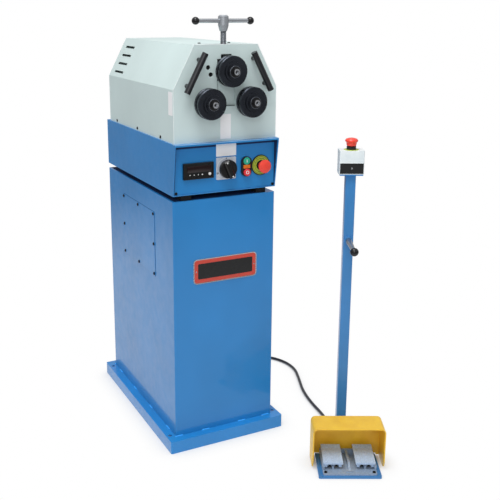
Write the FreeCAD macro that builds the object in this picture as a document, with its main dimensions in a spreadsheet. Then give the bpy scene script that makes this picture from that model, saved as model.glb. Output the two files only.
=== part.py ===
"""Three-roll ring roller on a sheet-steel stand, with a foot station joined to it by a cable.

Millimetres, +Z up. The origin is the middle of the base pan on the floor, +X is the
operator's right and the rollers face -Y. The foot station has a frame of its own, turned
about +Z, with its origin at the middle of its front edge.
"""
import FreeCAD, Part
import Sketcher
import math
import os
import re
from FreeCAD import Vector

SIZES = {
    # stand
    "stand_width": 336, "stand_depth": 580, "stand_top": 786, "stand_sheet": 3, "stand_corner": 4,
    "base_ledge_side": 27, "base_ledge_end": 28, "base_height": 40, "base_sheet": 4,
    "base_corner": 5, "anchor_inset_x": 13, "anchor_inset_y": 42, "anchor_hole": 12,
    "hatch_centre_z": 621, "hatch_pitch_y": 135, "hatch_pitch_z": 96, "hatch_margin": 7,
    "hatch_sheet": 1.2, "hatch_overlap": 17,
    "gland_inset": 76, "gland_z": 84, "gland_thread": 16, "gland_flange": 26, "gland_nose": 28,
    "gland_lip": 2,
    # rubber pads between stand and control box
    "pad_width": 32, "pad_length": 64, "pad_height": 17, "pad_inset": 45,
    "pad_inset_front": 38, "pad_inset_rear": 130,
    # control box
    "box_overhang": 2, "box_height": 152, "box_sheet": 3,
    "lip_overhang": 20, "lip_drop": 6, "panel_sheet": 2.5, "panel_setback": 2, "panel_gap": 0.3,
    "row_height": 70,
    "meter_inset": 80, "meter_width": 96, "meter_height": 48, "meter_bezel": 8, "meter_body": 74,
    "meter_lap_x": 2, "meter_lap_z": 1.5, "meter_frame": 5, "meter_recess": 2,
    "meter_corner": 2,
    "switch_x": 2, "switch_width": 64, "switch_height": 66, "switch_plate": 3,
    "switch_body": 50, "switch_neck": 24, "switch_length": 55, "switch_shaft": 8,
    "switch_corner": 3, "shaft_depth": 15, "shaft_bore_depth": 20,
    "knob_neck": 44, "knob_neck_height": 10, "knob_diameter": 55, "knob_height": 19,
    "knob_shoulder": 2, "grip_width": 17, "grip_height": 9,
    "grip_inset": 1, "grip_chamfer": 3, "grip_turn": 24,
    "button_spacing": 49.5, "bezel_width": 33, "bezel_height": 60, "bezel_depth": 7, "bezel_neck": 22,
    "bezel_floor": 1, "bezel_inset": 2, "bezel_end_inset": 4, "bezel_flat": 0.2,
    "button_diameter": 22, "button_pitch": 34, "button_clearance": 0.1, "button_chamfer": 1,
    "start_proud": 2, "stop_proud": 6, "button_travel": 3, "button_float": 0.2,
    "lens_width": 20, "lens_height": 6, "lens_depth": 1.5, "button_body": 45,
    "stop_inset": 50.5, "collar_flange": 62, "collar_plate": 3, "collar_diameter": 30,
    "collar_height": 9, "mushroom": 40, "mushroom_height": 20, "mushroom_gap": 5,
    "mushroom_waist": 4, "mushroom_waist_height": 9, "mushroom_rim_low": 12,
    "mushroom_rim_high": 16, "mushroom_crown": 2, "mushroom_crown_inset": 11,
    "mushroom_stem": 12, "stem_clearance": 0.05, "stem_depth": 15, "stem_bore_depth": 24,
    "collar_body": 45,
    # bending head
    "head_inset": 4, "head_slope_run": 64, "head_overhang": 4, "head_rear_inset": 24,
    "shoulder_height": 153, "head_height": 275, "cover_sheet": 2, "front_sheet": 3,
    "window_width": 58, "window_bottom": 102, "window_top": 235, "window_notch": 34,
    "window_notch_top": 248, "shaft_hole": 56,
    "guide_hole": 13, "guide_hole_1_x": -57, "guide_hole_1_z": 212, "guide_hole_2_x": -49,
    "guide_hole_2_z": 192,
    "vent_count": 4, "vent_first": 169, "vent_pitch": 26.3, "vent_width": 7, "vent_inset": 78,
    "vent_length": 85, "screw_opening": 26,
    "bed_thickness": 16, "bed_gap_back": 16,
    "frame_gap": 8, "frame_gap_side": 24, "frame_sheet": 24, "frame_spacing": 124,
    "frame_height": 249, "frame_shoulder": 165, "frame_gap_top": 2,
    "roll_spacing": 131, "roll_height": 113, "top_roll_height": 202,
    "shaft_diameter": 30, "collar_on_shaft": 42, "running_clearance": 0.05,
    "bearing_outer": 62, "bush_outer": 38,
    "roll_diameter": 88, "roll_groove": 60, "roll_gap": 19, "rear_rim": 10, "groove_width": 7,
    "front_rim": 11, "rim_chamfer": 1.5, "hub_step_1": 56, "hub_step_1_height": 4,
    "hub_step_2": 40, "hub_height": 8, "hub_draft": 1,
    "washer": 34, "washer_thickness": 3, "bolt_head": 19, "bolt_head_height": 11,
    "bolt_shank": 12, "bolt_reach": 28, "bolt_socket": 10, "socket_depth": 6,
    "bolt_chamfer": 1, "shaft_float": 0.3, "top_shaft_tail": 6,
    "slide_clearance": 0.1, "block_bottom": 161, "block_top": 235, "slot_width": 56,
    "block_chamfer": 2, "slot_bottom": 132, "slide_plate": 3, "slide_plate_gap": 3.5,
    "slide_plate_lap": 3, "slide_plate_bottom": 41, "slide_plate_top": 173,
    "nut_width": 100, "nut_depth": 26, "nut_height": 22,
    "feed_diameter": 18, "journal_diameter": 16, "journal_depth": 10,
    "feed_clearance": 0.3, "hub_diameter": 30, "hub_bottom": 311, "hub_taper": 16,
    "hub_top": 356, "hub_collar": 1.5, "hub_dome": 4, "hub_dome_inset": 5, "screw_tip": 4,
    "bar_height": 340, "bar_diameter": 12, "bar_reach": 86, "ball_diameter": 22,
    "ball_seat": 4,
    "gear_module": 3, "gear_teeth": 32, "pinion_teeth": 16, "pressure_angle": 20,
    "gear_addendum": 0.95, "gear_dedendum": 1.25,
    "gear_width": 20, "gear_gap": 6,
    "gear_backlash": 0.3, "gear_hub": 46, "gear_hub_length": 5, "pinion_shaft": 25,
    "gearbox_gap": 30, "gearbox_length": 130, "gearbox_width": 120, "gearbox_height": 132,
    "gearbox_corner": 12, "gearbox_boss": 70, "gearbox_boss_length": 6,
    "gearbox_foot": 160, "foot_thickness": 12, "foot_inset": 20,
    "shaft_engagement": 50, "gearbox_bore": 53,
    "motor_diameter": 122, "motor_rear_gap": 50, "motor_flange": 128, "flange_thickness": 12,
    "motor_waist": 4, "cowl_length": 38,
    "terminal_width": 74, "terminal_length": 84, "terminal_height": 50,
    "terminal_setback": 15, "terminal_sunk": 24,
    "handle_top_inset": 24, "handle_bottom_inset": 31, "handle_top": 253, "handle_bottom": 144,
    "handle_bar": 18, "handle_standoff": 24, "handle_leg": 13, "handle_leg_inset": 21,
    "rail_width": 200, "rail_height": 35, "relay_width": 45, "relay_height": 76,
    "relay_depth": 60, "rail_thickness": 8, "relay_gap": 0.5, "relay_front": 20,
    # foot station, in its own frame
    "station_x": 222, "station_y": -669, "station_turn": 26.5,
    "plate_ledge": 13, "plate_depth": 300, "plate_thickness": 8, "plate_corner": 4,
    "plate_front_depth": 126, "tongue_width": 98,
    "casting_width": 158, "casting_front": 4, "casting_back": 117, "casting_flange": 5,
    "casting_corner": 5, "casting_wall": 6, "casting_wall_front": 24, "casting_wall_height": 20,
    "casting_hole_inset": 8, "casting_hole_y": 13.5, "casting_hole": 7, "spine_foot": 22,
    "spine_foot_height": 3, "spine_width": 7, "spine_height": 15, "spine_start": 9,
    "spine_ramp": 30, "back_wall_height": 22, "lug_width": 6,
    "treadle_inset": 31.5, "treadle_width": 58, "treadle_front": 27, "treadle_length": 83,
    "treadle_thickness": 6, "treadle_front_height": 30, "treadle_rise": 12,
    "pivot_y": 37, "pivot_height": 24, "pivot_diameter": 6, "pivot_boss": 12,
    "pin_inset": 4, "ear_width": 8, "ear_drop": 1,
    "hood_side_gap": 15, "hood_front": 44, "hood_depth": 86, "hood_height": 134, "hood_wall": 3,
    "hood_floor_gap": 3, "hood_corner": 14, "hood_tip": 22, "entry_x": -25, "entry_z": 28,
    "entry_hole": 11, "hood_plate_gap": 3,
    "pole_x": 4, "pole_y": 260, "pole_size": 30, "pole_wall": 2, "pole_corner": 2, "pole_top": 852,
    "top_plate": 4, "lever_height": 651, "lever_boss": 28, "lever_boss_length": 5,
    "lever_root": 19, "lever_tip": 12, "lever_stud": 8, "lever_length": 118, "lever_ball_size": 25,
    "call_width": 73, "call_depth": 50, "call_height": 70, "call_wall": 1.8, "call_corner": 3,
    "call_plate_inset": 2,
    "shutter_height": 33, "shutter_thickness": 4, "shutter_proud": 0.5, "call_collar": 28,
    "call_collar_height": 10, "call_mushroom": 38, "call_mushroom_height": 22,
    "call_mushroom_gap": 2.5, "call_waist_inset": 5, "call_rim_inset": 3.5, "call_waist": 9,
    "call_rim_low": 13, "call_rim_high": 16, "call_crown": 2, "call_crown_inset": 10,
    "call_stem": 10, "call_stem_depth": 10, "call_bore_depth": 16, "call_body": 28,
    # cable between the two
    "cable_diameter": 10, "cable_exit": 73, "cable_entry": 34,
}

# Sizes that follow from others, as formulas of the same sheet.
DERIVED = {
    "base_width": "stand_width + 2 * base_ledge_side",
    "base_depth": "stand_depth + 2 * base_ledge_end",
    "anchor_x": "base_width / 2 - anchor_inset_x",
    "anchor_y": "base_depth / 2 - anchor_inset_y",
    "pad_x": "stand_width / 2 - pad_inset",
    "pad_front_y": "pad_inset_front - stand_depth / 2",
    "pad_rear_y": "stand_depth / 2 - pad_inset_rear",
    "gland_y": "stand_depth / 2 - gland_inset",
    "box_width": "stand_width",
    "box_depth": "stand_depth + 2 * box_overhang",
    "meter_x": "meter_inset - box_width / 2",
    "stop_x": "box_width / 2 - stop_inset",
    "button_x": "stop_x - button_spacing",
    "meter_cut_width": "meter_width - 2 * meter_lap_x",
    "meter_cut_height": "meter_height - 2 * meter_lap_z",
    "head_width": "stand_width - 2 * head_inset",
    "head_top_width": "head_width - 2 * head_slope_run",
    "head_front": "box_depth / 2 + head_overhang",
    "head_back": "box_depth / 2 - head_rear_inset",
    "head_depth": "head_front + head_back",
    "vent_centre_y": "head_back - vent_inset",
    "frame_front": "head_front - frame_gap",
    "bed_back": "head_back - bed_gap_back",
    "frame_width": "head_width - 2 * frame_gap_side",
    "frame_top_width": "head_top_width - 2 * frame_gap_top",
    "roll_back": "head_front + roll_gap",
    "block_width": "slot_width - 2 * slide_clearance",
    "nut_back": "frame_front - nut_depth",
    "screw_y": "frame_sheet / 2 - frame_front",
    "gear_front": "frame_front - frame_spacing - frame_sheet - gear_gap",
    "gearbox_front": "gear_front - gearbox_gap",
    "motor_length": "head_back - cover_sheet - motor_rear_gap - gearbox_length + gearbox_front",
    "roll_axis_z": "stand_top + pad_height + box_height + roll_height",
    "gear_centres": "gear_module * (gear_teeth + pinion_teeth) / 2",
    "pinion_axis_z": "roll_axis_z - sqrt(gear_centres ^ 2 - (roll_spacing / 2) ^ 2)",
    "bed_top": "stand_top + pad_height + box_height + bed_thickness",
    "handle_top_x": "head_top_width / 2 - handle_top_inset",
    "handle_bottom_x": "head_width / 2 - handle_bottom_inset",
    "plate_width": "casting_width + 2 * plate_ledge",
    "casting_hole_x": "casting_width / 2 - casting_hole_inset",
    "treadle_x": "casting_width / 2 - treadle_inset",
    "hood_width": "plate_width + 2 * hood_side_gap",
}
NAMES = sorted(list(SIZES) + list(DERIVED), key=len, reverse=True)
ALIAS = re.compile(r"\b(%s)\b" % "|".join(NAMES))

doc = FreeCAD.newDocument("RingRoller")
sheet = doc.addObject("Spreadsheet::Sheet", "Sizes")
cells = {**SIZES, **{alias: "=" + formula for alias, formula in DERIVED.items()}}
for row, (alias, value) in enumerate(cells.items(), 1):
    sheet.set("A%d" % row, alias)
    sheet.set("B%d" % row, str(value))
    sheet.setAlias("B%d" % row, alias)
doc.recompute()

pieces = []


def bound(text):
    """An expression in plain size names becomes one that reads the sheet."""
    return ALIAS.sub(r"Sizes.\1", str(text))


def size(alias):
    return float(sheet.get(alias))


# Levels and places that several pieces share, as expressions of the sheet's sizes.
BOX_BOTTOM = "(stand_top + pad_height)"
BOX_TOP = "(stand_top + pad_height + box_height)"
PANEL_FRONT = "(0 - box_depth / 2 + panel_setback)"
PANEL_BACK = "(0 - box_depth / 2 + panel_setback + panel_sheet)"
ROW_Z = "(stand_top + pad_height + row_height)"
ROLL_Z = "(stand_top + pad_height + box_height + roll_height)"
TOP_ROLL_Z = "(stand_top + pad_height + box_height + top_roll_height)"
ROLL_X = "(roll_spacing / 2)"
ROLL_FRONT = "(0 - roll_back - rear_rim - groove_width - front_rim)"
FRAME_BACK_PLATE = "(0 - frame_front + frame_spacing)"
BED_TOP = "(stand_top + pad_height + box_height + bed_thickness)"
POLE_FACE = "(pole_y - pole_size / 2)"
CALL_BOTTOM = "(pole_top + top_plate)"
CALL_TOP = "(pole_top + top_plate + call_height)"


def rectangle(x0, y0, x1, y1):
    """Corners of an upright rectangle, from its low corner to its high one."""
    return [(x0, y0), (x1, y0), (x1, y1), (x0, y1)]


def circle(x, y, diameter):
    return {"x": x, "y": y, "diameter": diameter}


class Piece:
    """One sub-part as a PartDesign body: each method adds the next feature to it.

    XY sketches hold (x, y), XZ sketches (x, z) and YZ sketches (y, z). A pad or a cut
    starts at `start` along the plane's own axis and runs `length` in the + direction.
    """

    def __init__(self, name):
        self.body = doc.addObject("PartDesign::Body", name)
        self.body.Label = name
        self.body.AllowCompound = True
        self.count = 0
        pieces.append(self.body)

    def plane(self, role):
        return [o for o in self.body.Origin.OriginFeatures if o.Role == role + "_Plane"][0]

    def feature(self, kind):
        self.count += 1
        return self.body.newObject(kind, "%s_%d" % (self.body.Name, self.count))

    def sketch(self, role, loops, offset="0"):
        drawn = self.feature("Sketcher::SketchObject")
        drawn.AttachmentSupport = [(self.plane(role), "")]
        drawn.MapMode = "FlatFace"
        drawn.setExpression("AttachmentOffset.Base.z", bound(offset))
        for loop in loops:
            if isinstance(loop, dict):
                self.draw_circle(drawn, loop)
            else:
                self.draw_polygon(drawn, loop)
        return drawn

    def pin(self, drawn, geometry, corner, x, y, guess):
        """Hold one point of a sketch at two sizes from the sketch's origin."""
        for kind, text, near in (("DistanceX", x, guess.x), ("DistanceY", y, guess.y)):
            index = drawn.addConstraint(Sketcher.Constraint(kind, -1, 1, geometry, corner, near))
            drawn.setExpression("Constraints[%d]" % index, bound(text))

    def draw_polygon(self, drawn, points):
        first = drawn.GeometryCount
        total = len(points)
        turn = 2 * math.pi / total
        guess = [Vector(40 * math.cos(turn * k), 40 * math.sin(turn * k), 0) for k in range(total)]
        for k in range(total):
            drawn.addGeometry(Part.LineSegment(guess[k], guess[(k + 1) % total]), False)
        for k in range(total):
            after = first + (k + 1) % total
            drawn.addConstraint(Sketcher.Constraint("Coincident", first + k, 2, after, 1))
        for k, (x, y) in enumerate(points):
            self.pin(drawn, first + k, 1, x, y, guess[k])

    def draw_circle(self, drawn, loop):
        guess = Vector(10, 10, 0)
        index = drawn.addGeometry(Part.Circle(guess, Vector(0, 0, 1), 5), False)
        self.pin(drawn, index, 3, loop["x"], loop["y"], guess)
        wide = drawn.addConstraint(Sketcher.Constraint("Diameter", index, 10))
        drawn.setExpression("Constraints[%d]" % wide, bound(loop["diameter"]))

    def prism(self, kind, role, loops, start, length):
        toward_front = role == "XZ"
        offset = "0 - (%s) - (%s)" % (start, length) if toward_front else start
        made = self.feature(kind)
        made.Profile = self.sketch(role, loops, offset)
        made.setExpression("Length", bound(length))
        return made

    def pad(self, role, loops, start, length):
        self.prism("PartDesign::Pad", role, loops, start, length)
        return self

    def cut(self, role, loops, start, length):
        doc.recompute()
        before = self.body.Shape.Volume
        self.prism("PartDesign::Pocket", role, loops, start, length).Reversed = True
        doc.recompute()
        if not self.body.Shape.Volume < before:
            raise RuntimeError("a cut in %s takes nothing away" % self.body.Label)
        return self

    def turn(self, axis, loops):
        """Revolve (along, radius) loops about X or Y, or (radius, z) loops about Z."""
        role, reference = {"X": ("XZ", "H_Axis"), "Y": ("YZ", "H_Axis"), "Z": ("XZ", "V_Axis")}[axis]
        made = self.feature("PartDesign::Revolution")
        drawn = self.sketch(role, loops)
        made.Profile = drawn
        made.ReferenceAxis = (drawn, [reference])
        made.Angle = 360
        return self

    def round(self, radius, chosen, kind="PartDesign::Fillet"):
        """Round every edge of the piece so far that `chosen` accepts."""
        doc.recompute()
        tip = self.body.Tip
        edges = ["Edge%d" % k for k, edge in enumerate(tip.Shape.Edges, 1) if chosen(edge)]
        if not edges:
            raise RuntimeError("nothing to round on %s" % self.body.Label)
        made = self.feature(kind)
        made.Base = (tip, edges)
        made.setExpression("Radius" if kind.endswith("Fillet") else "Size", bound(radius))
        return self

    def place(self, x="0", y="0", z="0"):
        for letter, text in zip("xyz", (x, y, z)):
            self.body.setExpression("Placement.Base." + letter, bound(text))
        return self


def runs_along(axis):
    """Straight edges along one axis."""
    def chosen(edge):
        if len(edge.Vertexes) != 2 or edge.Curve.TypeId != "Part::GeomLine":
            return False
        way = edge.Vertexes[1].Point - edge.Vertexes[0].Point
        return abs(getattr(way.normalize(), axis)) > 0.999
    return chosen


def at_station(thing, x="0", y="0", z="0"):
    """Move a piece from its place (x, y, z) on the foot station to the machine's frame."""
    body = thing.body if isinstance(thing, Piece) else thing
    body.Placement = FreeCAD.Placement(Vector(), FreeCAD.Rotation(Vector(0, 0, 1), -1))
    across = "(%s) * cos(station_turn) + (%s) * sin(station_turn)" % (x, y)
    along = "(%s) * cos(station_turn) - (%s) * sin(station_turn)" % (y, x)
    body.setExpression("Placement.Base.x", bound("station_x + " + across))
    body.setExpression("Placement.Base.y", bound("station_y + " + along))
    body.setExpression("Placement.Base.z", bound(z))
    body.setExpression("Placement.Rotation.Angle", bound("0 - station_turn"))


def centred(width, low, high, middle="0"):
    """A rectangle of a width about `middle`, between two heights."""
    half = "(%s) / 2" % width
    return rectangle("%s - %s" % (middle, half), low, "%s + %s" % (middle, half), high)


# ---------------------------------------------------------------- stand

def base_pan():
    pan = Piece("base_pan")
    pan.pad("XY", [centred("base_width", "0 - base_depth / 2", "base_depth / 2")], "0", "base_height")
    pan.round("base_corner", runs_along("z"))
    pan.cut("XY", [centred("base_width - 2 * base_sheet", "base_sheet - base_depth / 2",
                           "base_depth / 2 - base_sheet")], "0", "base_height - base_sheet")
    holes = [circle(x, y, "anchor_hole") for x in ("anchor_x", "0 - anchor_x")
             for y in ("anchor_y", "0 - anchor_y")]
    pan.cut("XY", holes, "base_height - base_sheet", "base_sheet")


def stand_shell():
    shell = Piece("stand_shell")
    shell.pad("XY", [centred("stand_width", "0 - stand_depth / 2", "stand_depth / 2")],
              "base_height", "stand_top - base_height")
    shell.round("stand_corner", runs_along("z"))
    shell.cut("XY", [centred("stand_width - 2 * stand_sheet", "stand_sheet - stand_depth / 2",
                             "stand_depth / 2 - stand_sheet")],
              "base_height", "stand_top - base_height - stand_sheet")
    half_y = "(hatch_pitch_y + hatch_margin - hatch_overlap)"
    half_z = "(hatch_pitch_z + hatch_margin - hatch_overlap)"
    shell.cut("YZ", [rectangle("0 - " + half_y, "hatch_centre_z - " + half_z,
                               half_y, "hatch_centre_z + " + half_z)],
              "0 - stand_width / 2", "stand_sheet")
    shell.cut("YZ", [circle("gland_y", "gland_z", "gland_thread")],
              "stand_width / 2 - stand_sheet", "stand_sheet")


def access_cover():
    cover = Piece("access_cover")
    half_y = "(hatch_pitch_y + hatch_margin)"
    half_z = "(hatch_pitch_z + hatch_margin)"
    cover.pad("YZ", [rectangle("0 - " + half_y, "hatch_centre_z - " + half_z,
                               half_y, "hatch_centre_z + " + half_z)],
              "0 - stand_width / 2 - hatch_sheet", "hatch_sheet")


def machine_pads():
    blocks = [rectangle("%s * pad_x - pad_width / 2" % side, "%s - pad_length / 2" % y,
                        "%s * pad_x + pad_width / 2" % side, "%s + pad_length / 2" % y)
              for side in ("-1", "1") for y in ("pad_front_y", "pad_rear_y")]
    Piece("machine_pads").pad("XY", blocks, "stand_top", "pad_height")


def cable_gland():
    wall = "stand_width / 2"
    inside = wall + " - stand_sheet"
    gland = Piece("cable_gland")
    gland.turn("X", [[
        (inside, "cable_diameter / 2"), (inside, "gland_thread / 2"), (wall, "gland_thread / 2"),
        (wall, "gland_flange / 2"), (wall + " + gland_nose / 2", "gland_flange / 2"),
        (wall + " + gland_nose", "cable_diameter / 2 + gland_lip"),
        (wall + " + gland_nose", "cable_diameter / 2")]])
    gland.place("0", "gland_y", "gland_z")


# ---------------------------------------------------------------- control box

def control_box():
    box = Piece("control_box")
    rear = "box_depth / 2"
    front = "(0 - box_depth / 2)"
    nose = "(0 - box_depth / 2 - lip_overhang)"
    box.pad("YZ", [[(front, BOX_BOTTOM), (rear, BOX_BOTTOM), (rear, BOX_TOP), (nose, BOX_TOP),
                    (nose, BOX_TOP + " - lip_drop")]], "0 - box_width / 2", "box_width")
    inner = "box_width - 2 * box_sheet"
    box.cut("XZ", [centred(inner, BOX_BOTTOM + " + box_sheet", BOX_TOP + " - box_sheet")],
            PANEL_FRONT, "box_depth - panel_setback - box_sheet")
    box.cut("XZ", [centred(inner, BOX_BOTTOM + " + box_sheet", BOX_TOP + " - lip_drop")],
            nose, "lip_overhang + panel_setback")
    box.cut("XZ", [centred(inner, BOX_TOP + " - lip_drop", BOX_TOP + " - box_sheet")],
            nose + " + box_sheet", "lip_overhang + panel_setback - box_sheet")


def control_panel():
    panel = Piece("control_panel")
    panel.pad("XZ", [centred("box_width - 2 * box_sheet - 2 * panel_gap",
                             BOX_BOTTOM + " + box_sheet + panel_gap",
                             BOX_TOP + " - box_sheet - panel_gap")], PANEL_FRONT, "panel_sheet")
    panel.cut("XZ", [centred("meter_cut_width", ROW_Z + " - meter_cut_height / 2",
                             ROW_Z + " + meter_cut_height / 2", "meter_x"),
                     circle("switch_x", ROW_Z, "switch_neck"),
                     circle("button_x", ROW_Z, "bezel_neck"),
                     circle("stop_x", ROW_Z, "bezel_neck")], PANEL_FRONT, "panel_sheet")


def counter_housing():
    meter = Piece("counter_housing")
    front = PANEL_FRONT + " - meter_bezel"
    meter.pad("XZ", [centred("meter_width", ROW_Z + " - meter_height / 2",
                             ROW_Z + " + meter_height / 2", "meter_x")], front, "meter_bezel")
    meter.round("meter_corner", lambda edge: runs_along("y")(edge) or abs(edge.CenterOfMass.y
                - edge.BoundBox.YMin) < 1e-6 and edge.CenterOfMass.y < meter_front() + 1e-3)
    meter.pad("XZ", [centred("meter_cut_width - 2 * panel_gap",
                             ROW_Z + " - meter_cut_height / 2 + panel_gap",
                             ROW_Z + " + meter_cut_height / 2 - panel_gap", "meter_x")],
              PANEL_FRONT, "meter_body")
    meter.cut("XZ", [centred("meter_width - 2 * meter_frame",
                             ROW_Z + " - meter_height / 2 + meter_frame",
                             ROW_Z + " + meter_height / 2 - meter_frame", "meter_x")],
              front, "meter_recess")


def meter_front():
    return size("panel_setback") - size("box_depth") / 2 - size("meter_bezel")


def selector_switch():
    """Isolator: the square plate in front of the panel, the round body behind it."""
    switch = Piece("selector_switch")
    face = PANEL_FRONT + " - switch_plate"
    switch.pad("XZ", [centred("switch_width", ROW_Z + " - switch_height / 2",
                              ROW_Z + " + switch_height / 2", "switch_x")], face, "switch_plate")
    switch.round("switch_corner", runs_along("y"))
    switch.pad("XZ", [circle("switch_x", ROW_Z, "switch_neck")], PANEL_FRONT, "panel_sheet")
    switch.pad("XZ", [circle("switch_x", ROW_Z, "switch_body")], PANEL_BACK, "switch_length")
    switch.cut("XZ", [circle("switch_x", ROW_Z, "switch_shaft + 2 * running_clearance")],
               face, "switch_plate + panel_sheet + shaft_bore_depth")


def selector_knob():
    """Round knob with a bar grip across it, on a shaft that runs in the switch body."""
    knob = Piece("selector_knob")
    back = "0 - switch_plate - panel_gap"
    knob.turn("Y", [[(back, "0"), (back, "knob_neck / 2"),
                     (back + " - knob_neck_height", "knob_neck / 2"),
                     (back + " - knob_neck_height", "knob_diameter / 2"),
                     (back + " - knob_height + knob_shoulder", "knob_diameter / 2"),
                     (back + " - knob_height", "knob_diameter / 2 - knob_shoulder"),
                     (back + " - knob_height", "0")]])
    knob.pad("XZ", [centred("grip_width", "grip_inset - knob_diameter / 2",
                            "knob_diameter / 2 - grip_inset")],
             back + " - knob_height - grip_height",
             "grip_height + knob_height - knob_neck_height")
    top = -(size("switch_plate") + size("panel_gap") + size("knob_height") + size("grip_height"))
    knob.round("grip_chamfer", lambda edge: abs(edge.CenterOfMass.y - top) < 1e-3,
               "PartDesign::Chamfer")
    knob.pad("XZ", [circle("0", "0", "switch_shaft")],
             back, "switch_plate + panel_sheet + shaft_depth")
    knob.body.Placement = FreeCAD.Placement(Vector(), FreeCAD.Rotation(Vector(0, 1, 0), -1))
    knob.body.setExpression("Placement.Rotation.Angle", bound("0 - grip_turn"))
    knob.place("switch_x", PANEL_FRONT, ROW_Z)


def button_bezel():
    """Oval twin-button bezel, with a lamp window between two bores for the buttons."""
    bezel = Piece("button_bezel")
    front = PANEL_FRONT + " - bezel_depth"
    bezel.pad("XZ", [centred("bezel_width", ROW_Z + " - bezel_height / 2",
                             ROW_Z + " + bezel_height / 2", "button_x")], front, "bezel_depth")
    bezel.round("bezel_width / 2 - bezel_flat", runs_along("y"))
    bezel.pad("XZ", [circle("button_x", ROW_Z, "bezel_neck")], PANEL_FRONT, "panel_sheet")
    bezel.pad("XZ", [centred("bezel_width - 2 * bezel_inset",
                             ROW_Z + " - bezel_height / 2 + bezel_end_inset",
                             ROW_Z + " + bezel_height / 2 - bezel_end_inset", "button_x")],
              PANEL_BACK, "button_body")
    bores = [circle("button_x", ROW_Z + side + "button_pitch / 2",
                    "button_diameter + 2 * button_clearance") for side in (" + ", " - ")]
    bezel.cut("XZ", bores, front, "bezel_depth - bezel_floor")
    bezel.cut("XZ", [centred("lens_width", ROW_Z + " - lens_height / 2",
                             ROW_Z + " + lens_height / 2", "button_x")], front, "lens_depth")


def push_button(name, side, proud):
    """A cap in its bore: it stands `proud` of the bezel and stops on the bore's floor."""
    button = Piece(name)
    centre = ROW_Z + side + "button_pitch / 2"
    face = PANEL_FRONT + " - bezel_depth - " + proud
    button.pad("XZ", [circle("button_x", centre, "button_diameter")],
               face, "%s + bezel_depth - bezel_floor - button_travel - button_float" % proud)
    front = size("panel_setback") - size("box_depth") / 2 - size("bezel_depth") - size(proud)
    button.round("button_chamfer", lambda edge: abs(edge.CenterOfMass.y - front) < 1e-3,
                 "PartDesign::Chamfer")


def stop_collar():
    """Emergency-stop collar on the panel with its contact block behind."""
    collar = Piece("panel_stop_collar")
    collar.turn("Y", [[
        ("0 - collar_height", "mushroom_stem / 2 + stem_clearance"),
        ("0 - collar_height", "collar_diameter / 2"),
        ("0 - collar_plate", "collar_diameter / 2"),
        ("0 - collar_plate", "collar_flange / 2"), ("0", "collar_flange / 2"),
        ("0", "bezel_neck / 2"), ("panel_sheet", "bezel_neck / 2"),
        ("panel_sheet", "collar_diameter / 2"), ("collar_body", "collar_diameter / 2"),
        ("collar_body", "0"), ("stem_bore_depth", "0"),
        ("stem_bore_depth", "mushroom_stem / 2 + stem_clearance")]])
    collar.place("stop_x", PANEL_FRONT, ROW_Z)


def stop_button():
    """Mushroom head, domed in front and drawn in behind, on a stem in the collar."""
    head = Piece("panel_stop_head")
    back = "0 - collar_height - mushroom_gap"
    head.turn("Y", [[
        ("stem_depth", "0"), ("stem_depth", "mushroom_stem / 2"), (back, "mushroom_stem / 2"),
        (back, "mushroom / 2 - 1.5 * mushroom_waist"),
        (back + " - mushroom_waist_height", "mushroom / 2 - mushroom_waist"),
        (back + " - mushroom_rim_low", "mushroom / 2"),
        (back + " - mushroom_rim_high", "mushroom / 2"),
        (back + " - mushroom_height + mushroom_crown", "mushroom / 2 - mushroom_waist"),
        (back + " - mushroom_height", "mushroom / 2 - mushroom_crown_inset"),
        (back + " - mushroom_height", "0")]])
    head.place("stop_x", PANEL_FRONT, ROW_Z)


def relay_rail():
    """Rail with three contactors and a transformer, standing on the box floor."""
    rail = Piece("relay_rail")
    floor = BOX_BOTTOM + " + box_sheet"
    rail.pad("XY", [rectangle("0 - rail_width / 2", "0", "rail_width / 2", "rail_height")],
             floor, "rail_thickness")
    units = [centred("relay_width - 2 * relay_gap", "0 - relay_front",
                     "relay_height - relay_front", "%d * relay_width" % k)
             for k in (-1, 0, 1)]
    rail.pad("XY", units, floor + " + rail_thickness", "relay_depth")


# ---------------------------------------------------------------- bending head covers

def head_outline(inset="0"):
    """The eight-sided head seen from the front, moved inwards by a sheet's thickness."""
    slope = "(head_width - head_top_width) / 2 / (head_height - shoulder_height)"
    bisector = "tan(atan(%s) / 2)" % slope
    side = "(head_width / 2 - (%s))" % inset
    shoulder = "(%s + shoulder_height - (%s) * %s)" % (BOX_TOP, inset, bisector)
    top = "(head_top_width / 2 - (%s) * (1 - %s) / (1 + %s))" % (inset, bisector, bisector)
    ridge = "(%s + head_height - (%s))" % (BOX_TOP, inset)
    right = [(side, BOX_TOP), (side, shoulder), (top, ridge)]
    return right + [("0 - " + x, z) for x, z in reversed(right)]


def window_outline():
    """Opening for the slide: a wide part and a narrower one above it."""
    wide, narrow = "window_width / 2", "window_notch / 2"
    low, high, top = (BOX_TOP + " + " + name for name in
                      ("window_bottom", "window_top", "window_notch_top"))
    right = [(wide, low), (wide, high), (narrow, high), (narrow, top)]
    return right + [("0 - " + x, z) for x, z in reversed(right)]


def front_cover():
    cover = Piece("front_cover")
    face = "0 - head_front"
    cover.pad("XZ", [head_outline()], face, "front_sheet")
    cover.cut("XZ", [window_outline()], face, "front_sheet")
    cover.cut("XZ", [circle("0 - " + ROLL_X, ROLL_Z, "shaft_hole"),
                     circle(ROLL_X, ROLL_Z, "shaft_hole"),
                     circle("guide_hole_1_x", BOX_TOP + " + guide_hole_1_z", "guide_hole"),
                     circle("guide_hole_2_x", BOX_TOP + " + guide_hole_2_z", "guide_hole")],
              face, "front_sheet")


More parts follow.
